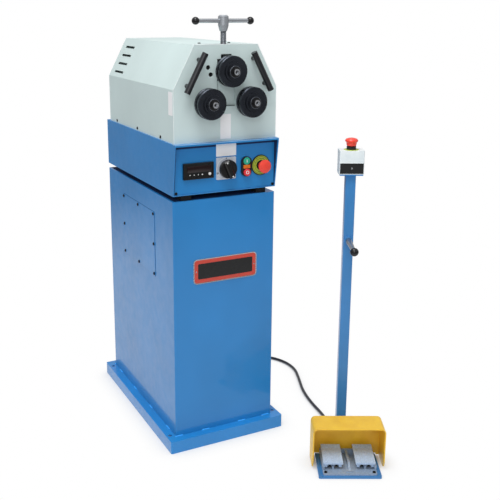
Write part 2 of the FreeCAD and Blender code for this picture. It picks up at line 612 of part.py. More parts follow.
def head_cover():
    """One folded sheet over sides, slopes and top, with cooling slots in the slopes."""
    cover = Piece("head_cover")
    start = "front_sheet - head_front"
    length = "head_depth - front_sheet - cover_sheet"
    cover.pad("XZ", [head_outline()], start, length)
    cover.cut("XZ", [head_outline("cover_sheet")], start, length)
    cover.cut("XY", [circle("0", "screw_y", "screw_opening")],
              BOX_TOP + " + head_height - cover_sheet", "cover_sheet")
    vents = []
    for k in range(int(size("vent_count"))):
        middle = "%s + vent_first + %d * vent_pitch" % (BOX_TOP, k)
        vents.append(rectangle("vent_centre_y - vent_length / 2", middle + " - vent_width / 2",
                               "vent_centre_y + vent_length / 2", middle + " + vent_width / 2"))
    cover.cut("YZ", vents, "0 - head_width / 2", "head_width")


def rear_cover():
    Piece("rear_cover").pad("XZ", [head_outline()], "head_back - cover_sheet", "cover_sheet")


def grab_handles():
    """Two straight bars beside the slopes, each on two legs from the front cover."""
    bars = []
    for word, side in (("left", -1), ("right", 1)):
        slope = "atan((handle_bottom_x - handle_top_x) / (handle_top - handle_bottom))"
        reach = ("sqrt((handle_bottom_x - handle_top_x)^2 + (handle_top - handle_bottom)^2)")
        bar = doc.addObject("Part::Cylinder", "handle_bar_" + word)
        bar.setExpression("Radius", bound("handle_bar / 2"))
        bar.setExpression("Height", bound(reach))
        bar.Placement = FreeCAD.Placement(Vector(), FreeCAD.Rotation(Vector(0, 1, 0), 1))
        bar.setExpression("Placement.Rotation.Angle", bound("%d * %s" % (-side, slope)))
        bar.setExpression("Placement.Base.x", bound("%d * handle_bottom_x" % side))
        bar.setExpression("Placement.Base.y", bound("0 - head_front - handle_standoff"))
        bar.setExpression("Placement.Base.z", bound(BOX_TOP + " + handle_bottom"))
        bars.append(bar)
        for end, share in (("low", "handle_leg_inset / (%s)" % reach),
                           ("high", "1 - handle_leg_inset / (%s)" % reach)):
            leg = doc.addObject("Part::Cylinder", "handle_leg_%s_%s" % (word, end))
            leg.setExpression("Radius", bound("handle_leg / 2"))
            leg.setExpression("Height", bound("handle_standoff"))
            leg.Placement = FreeCAD.Placement(Vector(), FreeCAD.Rotation(Vector(1, 0, 0), 90))
            across = "handle_bottom_x + (handle_top_x - handle_bottom_x) * (%s)" % share
            up = "handle_bottom + (handle_top - handle_bottom) * (%s)" % share
            leg.setExpression("Placement.Base.x", bound("%d * (%s)" % (side, across)))
            leg.setExpression("Placement.Base.y", bound("0 - head_front"))
            leg.setExpression("Placement.Base.z", bound("%s + %s" % (BOX_TOP, up)))
            bars.append(leg)
    group = doc.addObject("Part::MultiFuse", "grab_handles")
    group.Shapes = bars
    group.Label = "grab_handles"
    pieces.append(group)


# ---------------------------------------------------------------- bending head frame

def bed_plate():
    Piece("bed_plate").pad("XY", [centred("head_width - 2 * cover_sheet - 2 * panel_gap",
                                          "0 - frame_front", "bed_back")],
                           BOX_TOP, "bed_thickness")


def frame_plate(name, start):
    """Upright plate with two bearing bores and the slot that guides the slide block."""
    plate = Piece(name)
    half = "frame_width / 2"
    shoulder = BOX_TOP + " + frame_shoulder"
    top = BOX_TOP + " + frame_height"
    right = [(half, BED_TOP), (half, shoulder), ("frame_top_width / 2", top)]
    slot = [("slot_width / 2", top), ("slot_width / 2", BOX_TOP + " + slot_bottom")]
    outline = right + slot + [("0 - " + x, z) for x, z in reversed(right + slot)]
    plate.pad("XZ", [outline], start, "frame_sheet")
    plate.cut("XZ", [circle("0 - " + ROLL_X, ROLL_Z, "bearing_outer"),
                     circle(ROLL_X, ROLL_Z, "bearing_outer")], start, "frame_sheet")


def nut_block():
    """Bridge over the slot's open top with the feed screw's thread in it."""
    nut = Piece("nut_block")
    nut.pad("XY", [centred("nut_width", "0 - frame_front", "0 - nut_back")],
            BOX_TOP + " + frame_height", "nut_height")
    nut.cut("XY", [circle("0", "screw_y", "feed_diameter + 2 * running_clearance")],
            BOX_TOP + " + frame_height", "nut_height")


def lower_bearings():
    rings = Piece("lower_bearings")
    for start in ("0 - frame_front", FRAME_BACK_PLATE):
        for side in ("-1 * ", "1 * "):
            rings.pad("XZ", [circle(side + ROLL_X, ROLL_Z, "bearing_outer"),
                             circle(side + ROLL_X, ROLL_Z,
                                    "shaft_diameter + 2 * running_clearance")],
                      start, "frame_sheet")


def slide_block():
    """Steel block that carries the top shaft and slides in both frame plates."""
    block = Piece("slide_block")
    block.pad("XZ", [centred("block_width", BOX_TOP + " + block_bottom",
                             BOX_TOP + " + block_top")],
              "0 - frame_front", "frame_spacing + frame_sheet")
    block.round("block_chamfer", runs_along("y"), "PartDesign::Chamfer")
    block.cut("XZ", [circle("0", TOP_ROLL_Z, "bush_outer")],
              "0 - frame_front", "frame_spacing + frame_sheet")
    block.cut("XY", [circle("0", "screw_y", "journal_diameter + 2 * running_clearance")],
              BOX_TOP + " + block_top - journal_depth", "journal_depth")


def slide_cover():
    """Plate behind the window, with a gap along its left edge and its right edge lapped."""
    cover = Piece("slide_cover")
    cover.pad("XZ", [rectangle("slide_plate_gap - window_width / 2",
                               BOX_TOP + " + slide_plate_bottom",
                               "window_width / 2 + slide_plate_lap",
                               BOX_TOP + " + slide_plate_top")],
              "0 - frame_front - slide_plate", "slide_plate")


def top_bearings():
    bushes = Piece("top_bearings")
    for start in ("0 - frame_front", FRAME_BACK_PLATE):
        bushes.pad("XZ", [circle("0", TOP_ROLL_Z, "bush_outer"),
                          circle("0", TOP_ROLL_Z, "shaft_diameter + 2 * running_clearance")],
                   start, "frame_sheet")


# ---------------------------------------------------------------- feed screw and its handle

def feed_screw():
    screw = Piece("feed_screw")
    low = BOX_TOP + " + block_top"
    tip = BOX_TOP + " + bar_height - bar_diameter / 2 - screw_tip"
    screw.turn("Z", [[("0", low + " - journal_depth + feed_clearance"),
                      ("journal_diameter / 2", low + " - journal_depth + feed_clearance"),
                      ("journal_diameter / 2", low + " + feed_clearance"),
                      ("feed_diameter / 2", low + " + feed_clearance"),
                      ("feed_diameter / 2", tip), ("0", tip)]])
    screw.place("0", "screw_y", "0")


def handle_hub():
    """Cast hub pinned on the screw: a taper, a barrel and a shallow dome."""
    hub = Piece("handle_hub")
    seat = BOX_TOP + " + bar_height - bar_diameter / 2 - screw_tip"
    hub.turn("Z", [[("feed_diameter / 2", BOX_TOP + " + hub_bottom"),
                    ("feed_diameter / 2 + hub_collar", BOX_TOP + " + hub_bottom"),
                    ("hub_diameter / 2", BOX_TOP + " + hub_bottom + hub_taper"),
                    ("hub_diameter / 2", BOX_TOP + " + hub_top - hub_dome"),
                    ("hub_diameter / 2 - hub_dome_inset", BOX_TOP + " + hub_top"),
                    ("0", BOX_TOP + " + hub_top"), ("0", seat), ("feed_diameter / 2", seat)]])
    hub.cut("YZ", [circle("0", BOX_TOP + " + bar_height", "bar_diameter")],
            "0 - hub_diameter / 2", "hub_diameter")
    hub.place("0", "screw_y", "0")


def cross_bar():
    bar = Piece("cross_bar")
    bar.pad("YZ", [circle("screw_y", BOX_TOP + " + bar_height", "bar_diameter")],
            "ball_seat - bar_reach", "2 * bar_reach - 2 * ball_seat")


def ball_outline(diameter, bore, depth, middle, side=1):
    """Half outline of a ball about an axis, bored from the side of its rod to `depth`
    from the ball's middle: the round is a run of equal chords, ended at the bore."""
    steps = 11 if size(bore) < 0.4 * size(diameter) else 10
    along = "%s + %%s * (%%s)" % middle
    points = [(along % (side, depth), "0")]
    for k in range(steps):
        points.append((along % (side, "%s / 2 * cos(%d)" % (diameter, 15 * k)),
                       "%s / 2 * sin(%d)" % (diameter, 15 * k)))
    mouth = "0 - sqrt(%s^2 - %s^2) / 2" % (diameter, bore)
    points.append((along % (side, mouth), "%s / 2" % bore))
    points.append((along % (side, depth), "%s / 2" % bore))
    return points


def bar_knobs():
    """Two plastic balls, each bored part way for the end of the cross bar."""
    knobs = Piece("bar_knobs")
    depth = "0 - ball_seat"
    knobs.turn("X", [ball_outline("ball_diameter", "bar_diameter", depth, "0 - bar_reach", -1),
                     ball_outline("ball_diameter", "bar_diameter", depth, "bar_reach")])
    knobs.place("0", "screw_y", BOX_TOP + " + bar_height")


# ---------------------------------------------------------------- rollers, shafts and gears

def roller(name, x, z):
    """Two rims with the bending groove between, and a stepped hub in front."""
    back = "0 - roll_back"
    rear = "(%s - rear_rim)" % back
    mid = "(%s - groove_width)" % rear
    front = "(%s - front_rim)" % mid
    rim, deep = "roll_diameter / 2", "roll_groove / 2"
    bore = "shaft_diameter / 2"
    disc = Piece(name)
    disc.turn("Y", [[
        (back, bore), (back, rim + " - rim_chamfer"), (back + " - rim_chamfer", rim),
        (rear + " + rim_chamfer", rim), (rear, rim + " - rim_chamfer"), (rear, deep),
        (mid, deep), (mid, rim + " - rim_chamfer"), (mid + " - rim_chamfer", rim),
        (front + " + rim_chamfer", rim), (front, rim + " - rim_chamfer"),
        (front, "hub_step_1 / 2"),
        (front + " - hub_step_1_height", "hub_step_1 / 2 - hub_draft"),
        (front + " - hub_step_1_height", "hub_step_2 / 2"),
        (front + " - hub_height", "hub_step_2 / 2"), (front + " - hub_height", bore)]])
    disc.place(x, "0", z)


def roll_shaft(name, x, z, back):
    """Shaft with the shoulder that the roller seats on and a threaded front end."""
    bar, shoulder = "shaft_diameter / 2", "collar_on_shaft / 2"
    front = ROLL_FRONT + " - hub_height"
    shaft = Piece(name)
    shaft.turn("Y", [[
        (front, "bolt_shank / 2"), (front, bar), ("0 - roll_back", bar),
        ("0 - roll_back", shoulder), ("0 - frame_front - shaft_float", shoulder),
        ("0 - frame_front - shaft_float", bar), (back, bar), (back, "0"),
        (front + " + bolt_reach", "0"), (front + " + bolt_reach", "bolt_shank / 2")]])
    shaft.place(x, "0", z)


def roll_bolt(name, x, z):
    """Washer and socket-head screw that hold the roller on its shaft."""
    seat = ROLL_FRONT + " - hub_height"
    head = seat + " - washer_thickness"
    top = head + " - bolt_head_height"
    bolt = Piece(name)
    bolt.turn("Y", [[
        (seat + " + bolt_reach", "0"), (seat + " + bolt_reach", "bolt_shank / 2"),
        (seat, "bolt_shank / 2"), (seat, "washer / 2"), (head, "washer / 2"),
        (head, "bolt_head / 2"), (top + " + bolt_chamfer", "bolt_head / 2"),
        (top, "bolt_head / 2 - bolt_chamfer"), (top, "0")]])
    flat = "bolt_socket / 2"
    point = "bolt_socket / 2 / cos(30)"
    hexagon = [(point, "0"), (point + " / 2", flat), ("0 - %s / 2" % point, flat),
               ("0 - " + point, "0"), ("0 - %s / 2" % point, "0 - " + flat),
               (point + " / 2", "0 - " + flat)]
    bolt.cut("XZ", [hexagon], top, "socket_depth")
    bolt.place(x, "0", z)


def involute_wire(teeth, tooth_angle):
    """Closed outline of a spur gear in the XZ plane, with one tooth at `tooth_angle`."""
    module = size("gear_module")
    pitch = module * teeth / 2
    pressure = math.radians(size("pressure_angle"))
    base = pitch * math.cos(pressure)
    tip = pitch + size("gear_addendum") * module
    root = pitch - size("gear_dedendum") * module
    half = math.pi / (2 * teeth) - size("gear_backlash") / (4 * pitch)
    half += math.tan(pressure) - pressure

    def point(radius, angle):
        return Vector(radius * math.cos(angle), 0, radius * math.sin(angle))

    def flank(radius):
        roll = math.sqrt(max((radius / base) ** 2 - 1, 0))
        return half - (roll - math.atan(roll))

    foot = max(base, root)
    middle = (foot + tip) / 2
    edges = []
    step = 2 * math.pi / teeth
    for k in range(teeth):
        axis = tooth_angle + k * step
        low, high = axis - flank(foot), axis + flank(foot)
        rising = [point(r, axis - flank(r)) for r in (foot, middle, tip)]
        falling = [point(r, axis + flank(r)) for r in (tip, middle, foot)]
        edges.append(Part.LineSegment(point(root, low), rising[0]))
        edges.append(Part.Arc(*rising))
        edges.append(Part.LineSegment(rising[2], falling[0]))
        edges.append(Part.Arc(*falling))
        edges.append(Part.LineSegment(falling[2], point(root, high)))
        edges.append(Part.LineSegment(point(root, high), point(root, low + step)))
    return Part.Wire([edge.toShape() for edge in edges])


def gear_blank(teeth, tooth_angle, x, z):
    """The toothed disc, with its front face at the gears' common plane."""
    face = Part.Face(involute_wire(int(teeth), tooth_angle))
    disc = face.extrude(Vector(0, size("gear_width"), 0))
    disc.translate(Vector(x, -size("gear_front"), z))
    return disc


def round_bar(radius, x, y, z, length):
    return Part.makeCylinder(radius, length, Vector(x, y, z), Vector(0, 1, 0))


def place_gear(name, shape):
    gear = doc.addObject("Part::Feature", name)
    gear.Label = name
    gear.Shape = shape
    pieces.append(gear)


def gears():
    """Both roll gears mesh with one pinion between and below them."""
    roll_x, roll_z = size("roll_spacing") / 2, size("roll_axis_z")
    pinion_z = size("pinion_axis_z")
    teeth, small = size("gear_teeth"), size("pinion_teeth")
    large_radius = size("gear_module") * teeth / 2
    small_radius = size("gear_module") * small / 2
    bore = size("shaft_diameter") / 2
    front, wide = -size("gear_front"), size("gear_width")
    for name, x in (("left_gear", -roll_x), ("right_gear", roll_x)):
        toward = math.atan2(roll_z - pinion_z, x)
        # A tooth of the pinion lies at angle 0; the gear shows it a gap at the pitch point.
        slip = small_radius * -toward + math.pi * size("gear_module") / 2
        angle = toward + math.pi - slip / large_radius
        gear = gear_blank(teeth, angle, x, roll_z)
        hub = round_bar(size("gear_hub") / 2, x, front + wide, roll_z, size("gear_hub_length"))
        hole = round_bar(bore, x, front, roll_z, wide + size("gear_hub_length"))
        place_gear(name, gear.fuse(hub).cut(hole))
    pinion = gear_blank(small, 0.0, 0.0, pinion_z)
    reach = size("gearbox_gap") - wide + size("shaft_engagement")
    shaft = round_bar(size("pinion_shaft") / 2, 0, front + wide, pinion_z, reach)
    place_gear("drive_pinion", pinion.fuse(shaft))


def gearbox():
    """In-line reducer: housing on two feet with a boss round its output bore."""
    axis_z, bed = size("pinion_axis_z"), size("bed_top")
    front, length = -size("gearbox_front"), size("gearbox_length")
    wide, tall = size("gearbox_width"), size("gearbox_height")
    body = Part.makeBox(wide, length, tall, Vector(-wide / 2, front, bed))
    upright = [e for e in body.Edges if abs(e.CenterOfMass.z - bed - tall) < 1e-6
               and abs(abs(e.CenterOfMass.x) - wide / 2) < 1e-6]
    body = body.makeFillet(size("gearbox_corner"), upright)
    foot, inset = size("gearbox_foot"), size("foot_inset")
    body = body.fuse(Part.makeBox(foot, length - 2 * inset, size("foot_thickness"),
                                  Vector(-foot / 2, front + inset, bed)))
    boss = size("gearbox_boss_length")
    body = body.fuse(round_bar(size("gearbox_boss") / 2, 0, front - boss, axis_z, boss))
    shaft = size("pinion_shaft") / 2 + size("running_clearance")
    body = body.cut(round_bar(shaft, 0, front - boss, axis_z, boss + size("gearbox_bore")))
    place_gear("gearbox", body)


def motor():
    """Flange motor in line behind the gearbox, with its terminal box on top."""
    axis_z = size("pinion_axis_z")
    back = size("gearbox_length") - size("gearbox_front")
    flange, cowl = size("flange_thickness"), size("cowl_length")
    barrel = size("motor_length") - flange - cowl
    radius = size("motor_diameter") / 2
    body = round_bar(size("motor_flange") / 2, 0, back, axis_z, flange)
    body = body.fuse(round_bar(radius - size("motor_waist"), 0, back + flange, axis_z, barrel))
    body = body.fuse(round_bar(radius, 0, back + flange + barrel, axis_z, cowl))
    wide, long, tall = (size("terminal_" + s) for s in ("width", "length", "height"))
    corner = Vector(-wide / 2, back + flange + size("terminal_setback"),
                    axis_z + radius - size("terminal_sunk"))
    body = body.fuse(Part.makeBox(wide, long, tall, corner))
    place_gear("motor", body)


# ---------------------------------------------------------------- foot station

def station_base():
    """Wide under the pedal, with a narrower tongue behind it for the pole."""
    plate = Piece("station_base")
    half, low, high = "plate_width / 2", "pole_x - tongue_width / 2", "pole_x + tongue_width / 2"
    plate.pad("XY", [[("0 - " + half, "0"), (half, "0"), (half, "plate_front_depth"),
                      (high, "plate_front_depth"), (high, "plate_depth"), (low, "plate_depth"),
                      (low, "plate_front_depth"), ("0 - " + half, "plate_front_depth")]],
              "0", "plate_thickness")
    plate.round("plate_corner", runs_along("z"))
    at_station(plate)


def pedal_casting():
    """Cast base: flange, low side walls, spine between the treadles and pivot pins."""
    base = Piece("pedal_casting")
    floor = "plate_thickness"
    deck = "plate_thickness + casting_flange"
    half = "casting_width / 2"
    base.pad("XY", [centred("casting_width", "casting_front", "casting_back")],
             floor, "casting_flange")
    base.round("casting_corner", runs_along("z"))
    walls = [rectangle("0 - " + half, "casting_wall_front", "casting_wall - " + half,
                       "casting_back - casting_wall"),
             rectangle(half + " - casting_wall", "casting_wall_front", half,
                       "casting_back - casting_wall")]
    base.pad("XY", walls, deck, "casting_wall_height - casting_flange")
    base.pad("XY", [centred("casting_width", "casting_back - casting_wall", "casting_back")],
             deck, "back_wall_height - casting_flange")
    inner_back = "casting_back - casting_wall"
    base.pad("XY", [centred("spine_foot", "casting_front + spine_start", inner_back)],
             deck, "spine_foot_height")
    fin = [("casting_front + spine_start", deck),
           (inner_back, deck), (inner_back, deck + " + spine_height"),
           ("casting_front + spine_start + spine_ramp", deck + " + spine_height")]
    base.pad("YZ", [fin], "0 - spine_width / 2", "spine_width")
    lugs = [centred("lug_width", "pivot_y - pivot_boss / 2", "pivot_y + pivot_boss / 2",
                    "%s * treadle_x" % side) for side in ("-1", "1")]
    base.pad("XY", lugs, deck, "pivot_height - plate_thickness - casting_flange")
    pins = [circle("pivot_y", "pivot_height", "pivot_diameter")]
    for side in ("-1", "1"):
        base.pad("YZ", pins, "%s * treadle_x - treadle_width / 2 + pin_inset" % side,
                 "treadle_width - 2 * pin_inset")
    base.cut("XY", [circle(side + " * casting_hole_x", "casting_hole_y", "casting_hole")
                    for side in ("-1", "1")], floor, "casting_flange")
    at_station(base)


def treadle(name, side):
    """Pressed treadle that rises away from the foot, on two ears over its pivot pin."""
    pedal = Piece(name)
    left = "%s * treadle_x - treadle_width / 2" % side
    slope = [("treadle_front", "treadle_front_height"),
             ("treadle_front + treadle_length", "treadle_front_height + treadle_rise"),
             ("treadle_front + treadle_length",
              "treadle_front_height + treadle_rise + treadle_thickness"),
             ("treadle_front", "treadle_front_height + treadle_thickness")]
    pedal.pad("YZ", [slope], left, "treadle_width")
    ear_front, ear_back = "pivot_y - pivot_boss / 2", "pivot_y + pivot_boss / 2"
    foot = "pivot_height - pivot_boss / 2 + ear_drop"
    sole = ("treadle_front_height + treadle_rise * (%s - treadle_front) / treadle_length"
            " + ear_drop")
    ear = [(ear_front, foot), (ear_back, foot), (ear_back, sole % ear_back),
           (ear_front, sole % ear_front)]
    for start in ("%s * treadle_x - treadle_width / 2 + pin_inset" % side,
                  "%s * treadle_x + treadle_width / 2 - pin_inset - ear_width" % side):
        pedal.pad("YZ", [ear], start, "ear_width")
    pedal.cut("YZ", [circle("pivot_y", "pivot_height", "pivot_diameter + 2 * running_clearance")],
              left, "treadle_width")
    at_station(pedal)


def pedal_hood():
    """Moulded guard over both treadles, open in front and below."""
    hood = Piece("pedal_hood")
    back = "hood_front + hood_depth"
    hood.pad("XZ", [centred("hood_width", "hood_floor_gap", "hood_height")],
             "hood_front", "hood_depth")
    hood.cut("XZ", [centred("hood_width - 2 * hood_wall", "hood_floor_gap",
                            "hood_height - hood_wall")], "hood_front", "hood_depth - hood_wall")
    top, rear = size("hood_height"), size("hood_front") + size("hood_depth")
    for radius, level in (("hood_corner - hood_wall", top - size("hood_wall")),
                          ("hood_corner", top)):
        hood.round(radius, lambda edge: runs_along("y")(edge)
                   and abs(edge.CenterOfMass.z - level) < 1e-3)
    hood.round("hood_corner / 2", lambda edge: abs(edge.CenterOfMass.y - rear) < 1e-3
               and edge.CenterOfMass.z > top / 3)
    hood.cut("XZ", [centred("plate_width + 2 * hood_plate_gap", "hood_floor_gap",
                            "plate_thickness + panel_gap")],
             back + " - hood_wall", "hood_wall")
    hood.cut("XZ", [circle("entry_x", "entry_z", "entry_hole")], back + " - hood_wall", "hood_wall")
    tip = [("hood_front", "hood_floor_gap"), ("hood_front + hood_tip", "hood_floor_gap"),
           ("hood_front + hood_tip / 4", "hood_floor_gap + hood_tip / 3"),
           ("hood_front", "hood_floor_gap + hood_tip")]
    hood.cut("YZ", [tip], "0 - hood_width / 2", "hood_width")
    at_station(hood)


def station_pole():
    """Square tube with a lever boss and the plate that carries the call box."""
    pole = Piece("station_pole")
    half = "pole_size / 2"
    bore = "(pole_size / 2 - pole_wall)"
    square = rectangle("pole_x - " + half, "pole_y - " + half, "pole_x + " + half, "pole_y + " + half)
    inside = rectangle("pole_x - " + bore, "pole_y - " + bore, "pole_x + " + bore, "pole_y + " + bore)
    pole.pad("XY", [square], "plate_thickness", "pole_top - plate_thickness")
    pole.round("pole_corner", runs_along("z"))
    pole.cut("XY", [inside], "plate_thickness", "pole_top - plate_thickness")
    pole.pad("XY", [centred("call_width - 2 * call_plate_inset", "pole_y - call_depth / 2",
                            "pole_y + call_depth / 2", "pole_x")], "pole_top", "top_plate")
    pole.pad("XZ", [circle("pole_x", "lever_height", "lever_boss")],
             POLE_FACE + " - lever_boss_length", "lever_boss_length")
    at_station(pole)


def carry_lever():
    """Tapered rod that stands straight out of the pole's boss, with a stud for its ball."""
    rod = Piece("carry_lever")
    root = "0 - pole_size / 2 - lever_boss_length"
    ball = "0 - pole_size / 2 - lever_length"
    rod.turn("Y", [[(root, "0"), (root, "lever_root / 2"), (ball + " + lever_ball_size / 2", "lever_tip / 2"),
                    (ball + " + lever_ball_size / 2", "lever_stud / 2"), (ball, "lever_stud / 2"),
                    (ball, "0")]])
    at_station(rod, "pole_x", "pole_y", "lever_height")


def lever_ball():
    """Plastic ball, bored to its middle for the lever's stud."""
    ball = Piece("lever_ball")
    ball.turn("Y", [ball_outline("lever_ball_size", "lever_stud", "0", "0", -1)])
    at_station(ball, "pole_x", POLE_FACE + " - lever_length", "lever_height")


def call_outline(inset):
    half_x = "(call_width / 2 - %s)" % inset
    half_y = "(call_depth / 2 - %s)" % inset
    return rectangle("pole_x - " + half_x, "pole_y - " + half_y,
                     "pole_x + " + half_x, "pole_y + " + half_y)


def call_box():
    """Light enclosure for the emergency stop, open low in front for its shutter."""
    box = Piece("call_box")
    box.pad("XY", [call_outline("0")], CALL_BOTTOM, "call_height")
    box.round("call_corner", runs_along("z"))
    front = "(pole_y - call_depth / 2)"
    box.cut("XZ", [centred("call_width - 2 * call_wall", CALL_BOTTOM + " + call_wall",
                           CALL_BOTTOM + " + shutter_height", "pole_x")],
            front, "call_depth - call_wall")
    box.cut("XY", [call_outline("call_wall")], CALL_BOTTOM + " + shutter_height",
            "call_height - shutter_height - call_wall")
    box.cut("XY", [circle("pole_x", "pole_y", "bezel_neck")], CALL_TOP + " - call_wall", "call_wall")
    at_station(box)


def call_shutter():
    """Dark front plate that closes the lower half of the call box."""
    plate = Piece("call_shutter")
    plate.pad("XZ", [centred("call_width - 2 * call_wall - 2 * panel_gap",
                             CALL_BOTTOM + " + call_wall + panel_gap",
                             CALL_BOTTOM + " + shutter_height - panel_gap", "pole_x")],
              "pole_y - call_depth / 2 - shutter_proud", "shutter_thickness")
    at_station(plate)


def upright_at_pole(name, profile):
    """A piece revolved about the call box's upright axis."""
    turned = Piece(name)
    turned.turn("Z", [profile])
    at_station(turned, "pole_x", "pole_y")


def call_stop():
    hole = "call_stem / 2 + stem_clearance"
    upright_at_pole("call_stop_collar", [
        (hole, CALL_TOP + " + call_collar_height"),
        ("call_collar / 2", CALL_TOP + " + call_collar_height"), ("call_collar / 2", CALL_TOP),
        ("bezel_neck / 2", CALL_TOP), ("bezel_neck / 2", CALL_TOP + " - call_body"),
        ("0", CALL_TOP + " - call_body"), ("0", CALL_TOP + " - call_bore_depth"),
        (hole, CALL_TOP + " - call_bore_depth")])
    low = CALL_TOP + " + call_collar_height + call_mushroom_gap"
    high = low + " + call_mushroom_height"
    rim = "call_mushroom / 2"
    upright_at_pole("call_stop_head", [
        ("0", CALL_TOP + " - call_stem_depth"), ("call_stem / 2", CALL_TOP + " - call_stem_depth"),
        ("call_stem / 2", low), (rim + " - call_waist_inset", low),
        (rim + " - call_rim_inset", low + " + call_waist"), (rim, low + " + call_rim_low"),
        (rim, low + " + call_rim_high"), (rim + " - call_rim_inset", high + " - call_crown"),
        (rim + " - call_crown_inset", high), ("0", high)])


# ---------------------------------------------------------------- cable

# Route of the cable's middle line, from the stand's gland along the floor and over the
# foot station's plate to the back of the pedal casting. The two ends follow the gland
# and the casting; the points between lie as the cable does.
CABLE_ROUTE = [
    (316, 206, 42), (385, 180, 5.2), (439, 116, 5.2), (452, 30, 5.2),
    (420, -56, 5.2), (383, -142, 5.2), (362, -230, 5.2), (352, -314, 6), (328, -390, 15.5),
    (290, -466, 15),
]


def cable_points():
    """The whole route: out of the gland, along the floor and into the casting."""
    turn = math.radians(size("station_turn"))

    def station_point(x, y, z):
        return Vector(size("station_x") + x * math.cos(turn) + y * math.sin(turn),
                      size("station_y") - x * math.sin(turn) + y * math.cos(turn), z)

    out = size("stand_width") / 2 - size("stand_sheet")
    entry_x, entry_z, back = size("entry_x"), size("entry_z"), size("casting_back")
    gland_y, gland_z = size("gland_y"), size("gland_z")
    return ([Vector(out, gland_y, gland_z), Vector(out + size("cable_exit"), gland_y, gland_z)]
            + [Vector(*point) for point in CABLE_ROUTE]
            + [station_point(entry_x, back + size("cable_entry"), entry_z),
               station_point(entry_x, back, entry_z)])


# Share of the shorter of the two runs at a corner that the bend there takes.
BEND_SHARE = 0.45


def bend_radius(before, corner, after):
    come, go = corner - before, after - corner
    turn = come.getAngle(go)
    return BEND_SHARE * min(come.Length, go.Length) / math.tan(turn / 2)


def cable_path(points):
    edges = []
    last = points[0]
    for before, corner, after in zip(points, points[1:], points[2:]):
        come = (corner - before).normalize()
        go = (after - corner).normalize()
        cut = BEND_SHARE * min((corner - before).Length, (after - corner).Length)
        enter, leave = corner - come * cut, corner + go * cut
        radius = bend_radius(before, corner, after)
        centre_way = (go - come).normalize()
        to_centre = math.hypot(radius, cut)
        middle = corner + centre_way * (to_centre - radius)
        edges.append(Part.LineSegment(last, enter).toShape())
        edges.append(Part.Arc(enter, middle, leave).toShape())
        last = leave
    edges.append(Part.LineSegment(last, points[-1]).toShape())
    return Part.Wire(edges)


def pedal_cable():
    points = cable_points()
    path = cable_path(points)
    radius = size("cable_diameter") / 2
    start = (points[1] - points[0]).normalize()
    section = Part.Wire([Part.makeCircle(radius, points[0], start)])
    solid = path.makePipeShell([section], True, False)
    expected = math.pi * radius ** 2 * path.Length
    if abs(solid.Volume / expected - 1) > 0.01:
        raise RuntimeError("the cable's tube isn't its section times its length")
    cable = doc.addObject("Part::Feature", "pedal_cable")
    cable.Label = "pedal_cable"
    cable.Shape = solid
    pieces.append(cable)
    radii = [bend_radius(*three) for three in zip(points, points[1:], points[2:])]
    print("cable length %.0f mm, bend radii" % path.Length, [round(r) for r in radii])


# ---------------------------------------------------------------- build

base_pan()
stand_shell()
access_cover()
machine_pads()
cable_gland()
control_box()
control_panel()
counter_housing()
selector_switch()
selector_knob()
button_bezel()
push_button("start_button", " + ", "start_proud")
push_button("stop_button", " - ", "stop_proud")
stop_collar()
stop_button()
relay_rail()
front_cover()
head_cover()
rear_cover()
grab_handles()
bed_plate()
frame_plate("front_frame_plate", "0 - frame_front")
frame_plate("rear_frame_plate", FRAME_BACK_PLATE)
nut_block()
lower_bearings()
slide_block()
slide_cover()
top_bearings()
feed_screw()
handle_hub()
cross_bar()
bar_knobs()
GEAR_END = "0 - gear_front + gear_width + gear_hub_length"
TOP_SHAFT_END = FRAME_BACK_PLATE + " + frame_sheet + top_shaft_tail"
for word, x, z, back in (("left", "0 - " + ROLL_X, ROLL_Z, GEAR_END),
                         ("right", ROLL_X, ROLL_Z, GEAR_END),
                         ("top", "0", TOP_ROLL_Z, TOP_SHAFT_END)):
    roller(word + "_roller", x, z)
    roll_shaft(word + "_shaft", x, z, back)
    roll_bolt(word + "_bolt", x, z)
gears()
gearbox()
motor()
station_base()
pedal_casting()
treadle("left_pedal", "-1")
treadle("right_pedal", "1")
pedal_hood()
station_pole()
carry_lever()
lever_ball()
call_box()
call_shutter()
call_stop()
pedal_cable()

doc.recompute()
broken = [o.Name for o in doc.Objects if "Invalid" in o.State or "Error" in o.State]
if broken:
    raise RuntimeError("objects that failed: %s" % broken)
for piece in pieces:
    if piece.Shape.isNull() or not piece.Shape.isValid() or not piece.Shape.Solids:
        raise RuntimeError("%s has no valid solid" % piece.Label)

os.makedirs("parts", exist_ok=True)
for piece in pieces:
    piece.Shape.exportStep("parts/%s.step" % piece.Label)
print(len(pieces), "sub-parts")
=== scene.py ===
"""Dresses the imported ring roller: finishes, cable, fasteners, plates, thread and stage."""
import math

import bpy
from mathutils import Matrix, Vector


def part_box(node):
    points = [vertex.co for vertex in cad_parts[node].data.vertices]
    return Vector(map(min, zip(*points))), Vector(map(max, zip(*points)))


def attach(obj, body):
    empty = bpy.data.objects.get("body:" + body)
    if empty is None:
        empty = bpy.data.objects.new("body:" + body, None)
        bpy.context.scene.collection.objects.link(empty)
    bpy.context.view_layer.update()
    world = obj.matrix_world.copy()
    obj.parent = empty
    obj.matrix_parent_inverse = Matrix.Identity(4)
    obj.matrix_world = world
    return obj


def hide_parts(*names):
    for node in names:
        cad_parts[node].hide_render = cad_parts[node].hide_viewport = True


bl_info = {
    "name": "Ring Roller Dressing",
    "version": (1, 0, 0),
    "blender": (4, 5, 0),
    "location": "View3D > Sidebar > Ring Roller",
    "description": "Finishes and fine pieces for a three-roll ring roller with a foot station",
    "category": "Object",
}

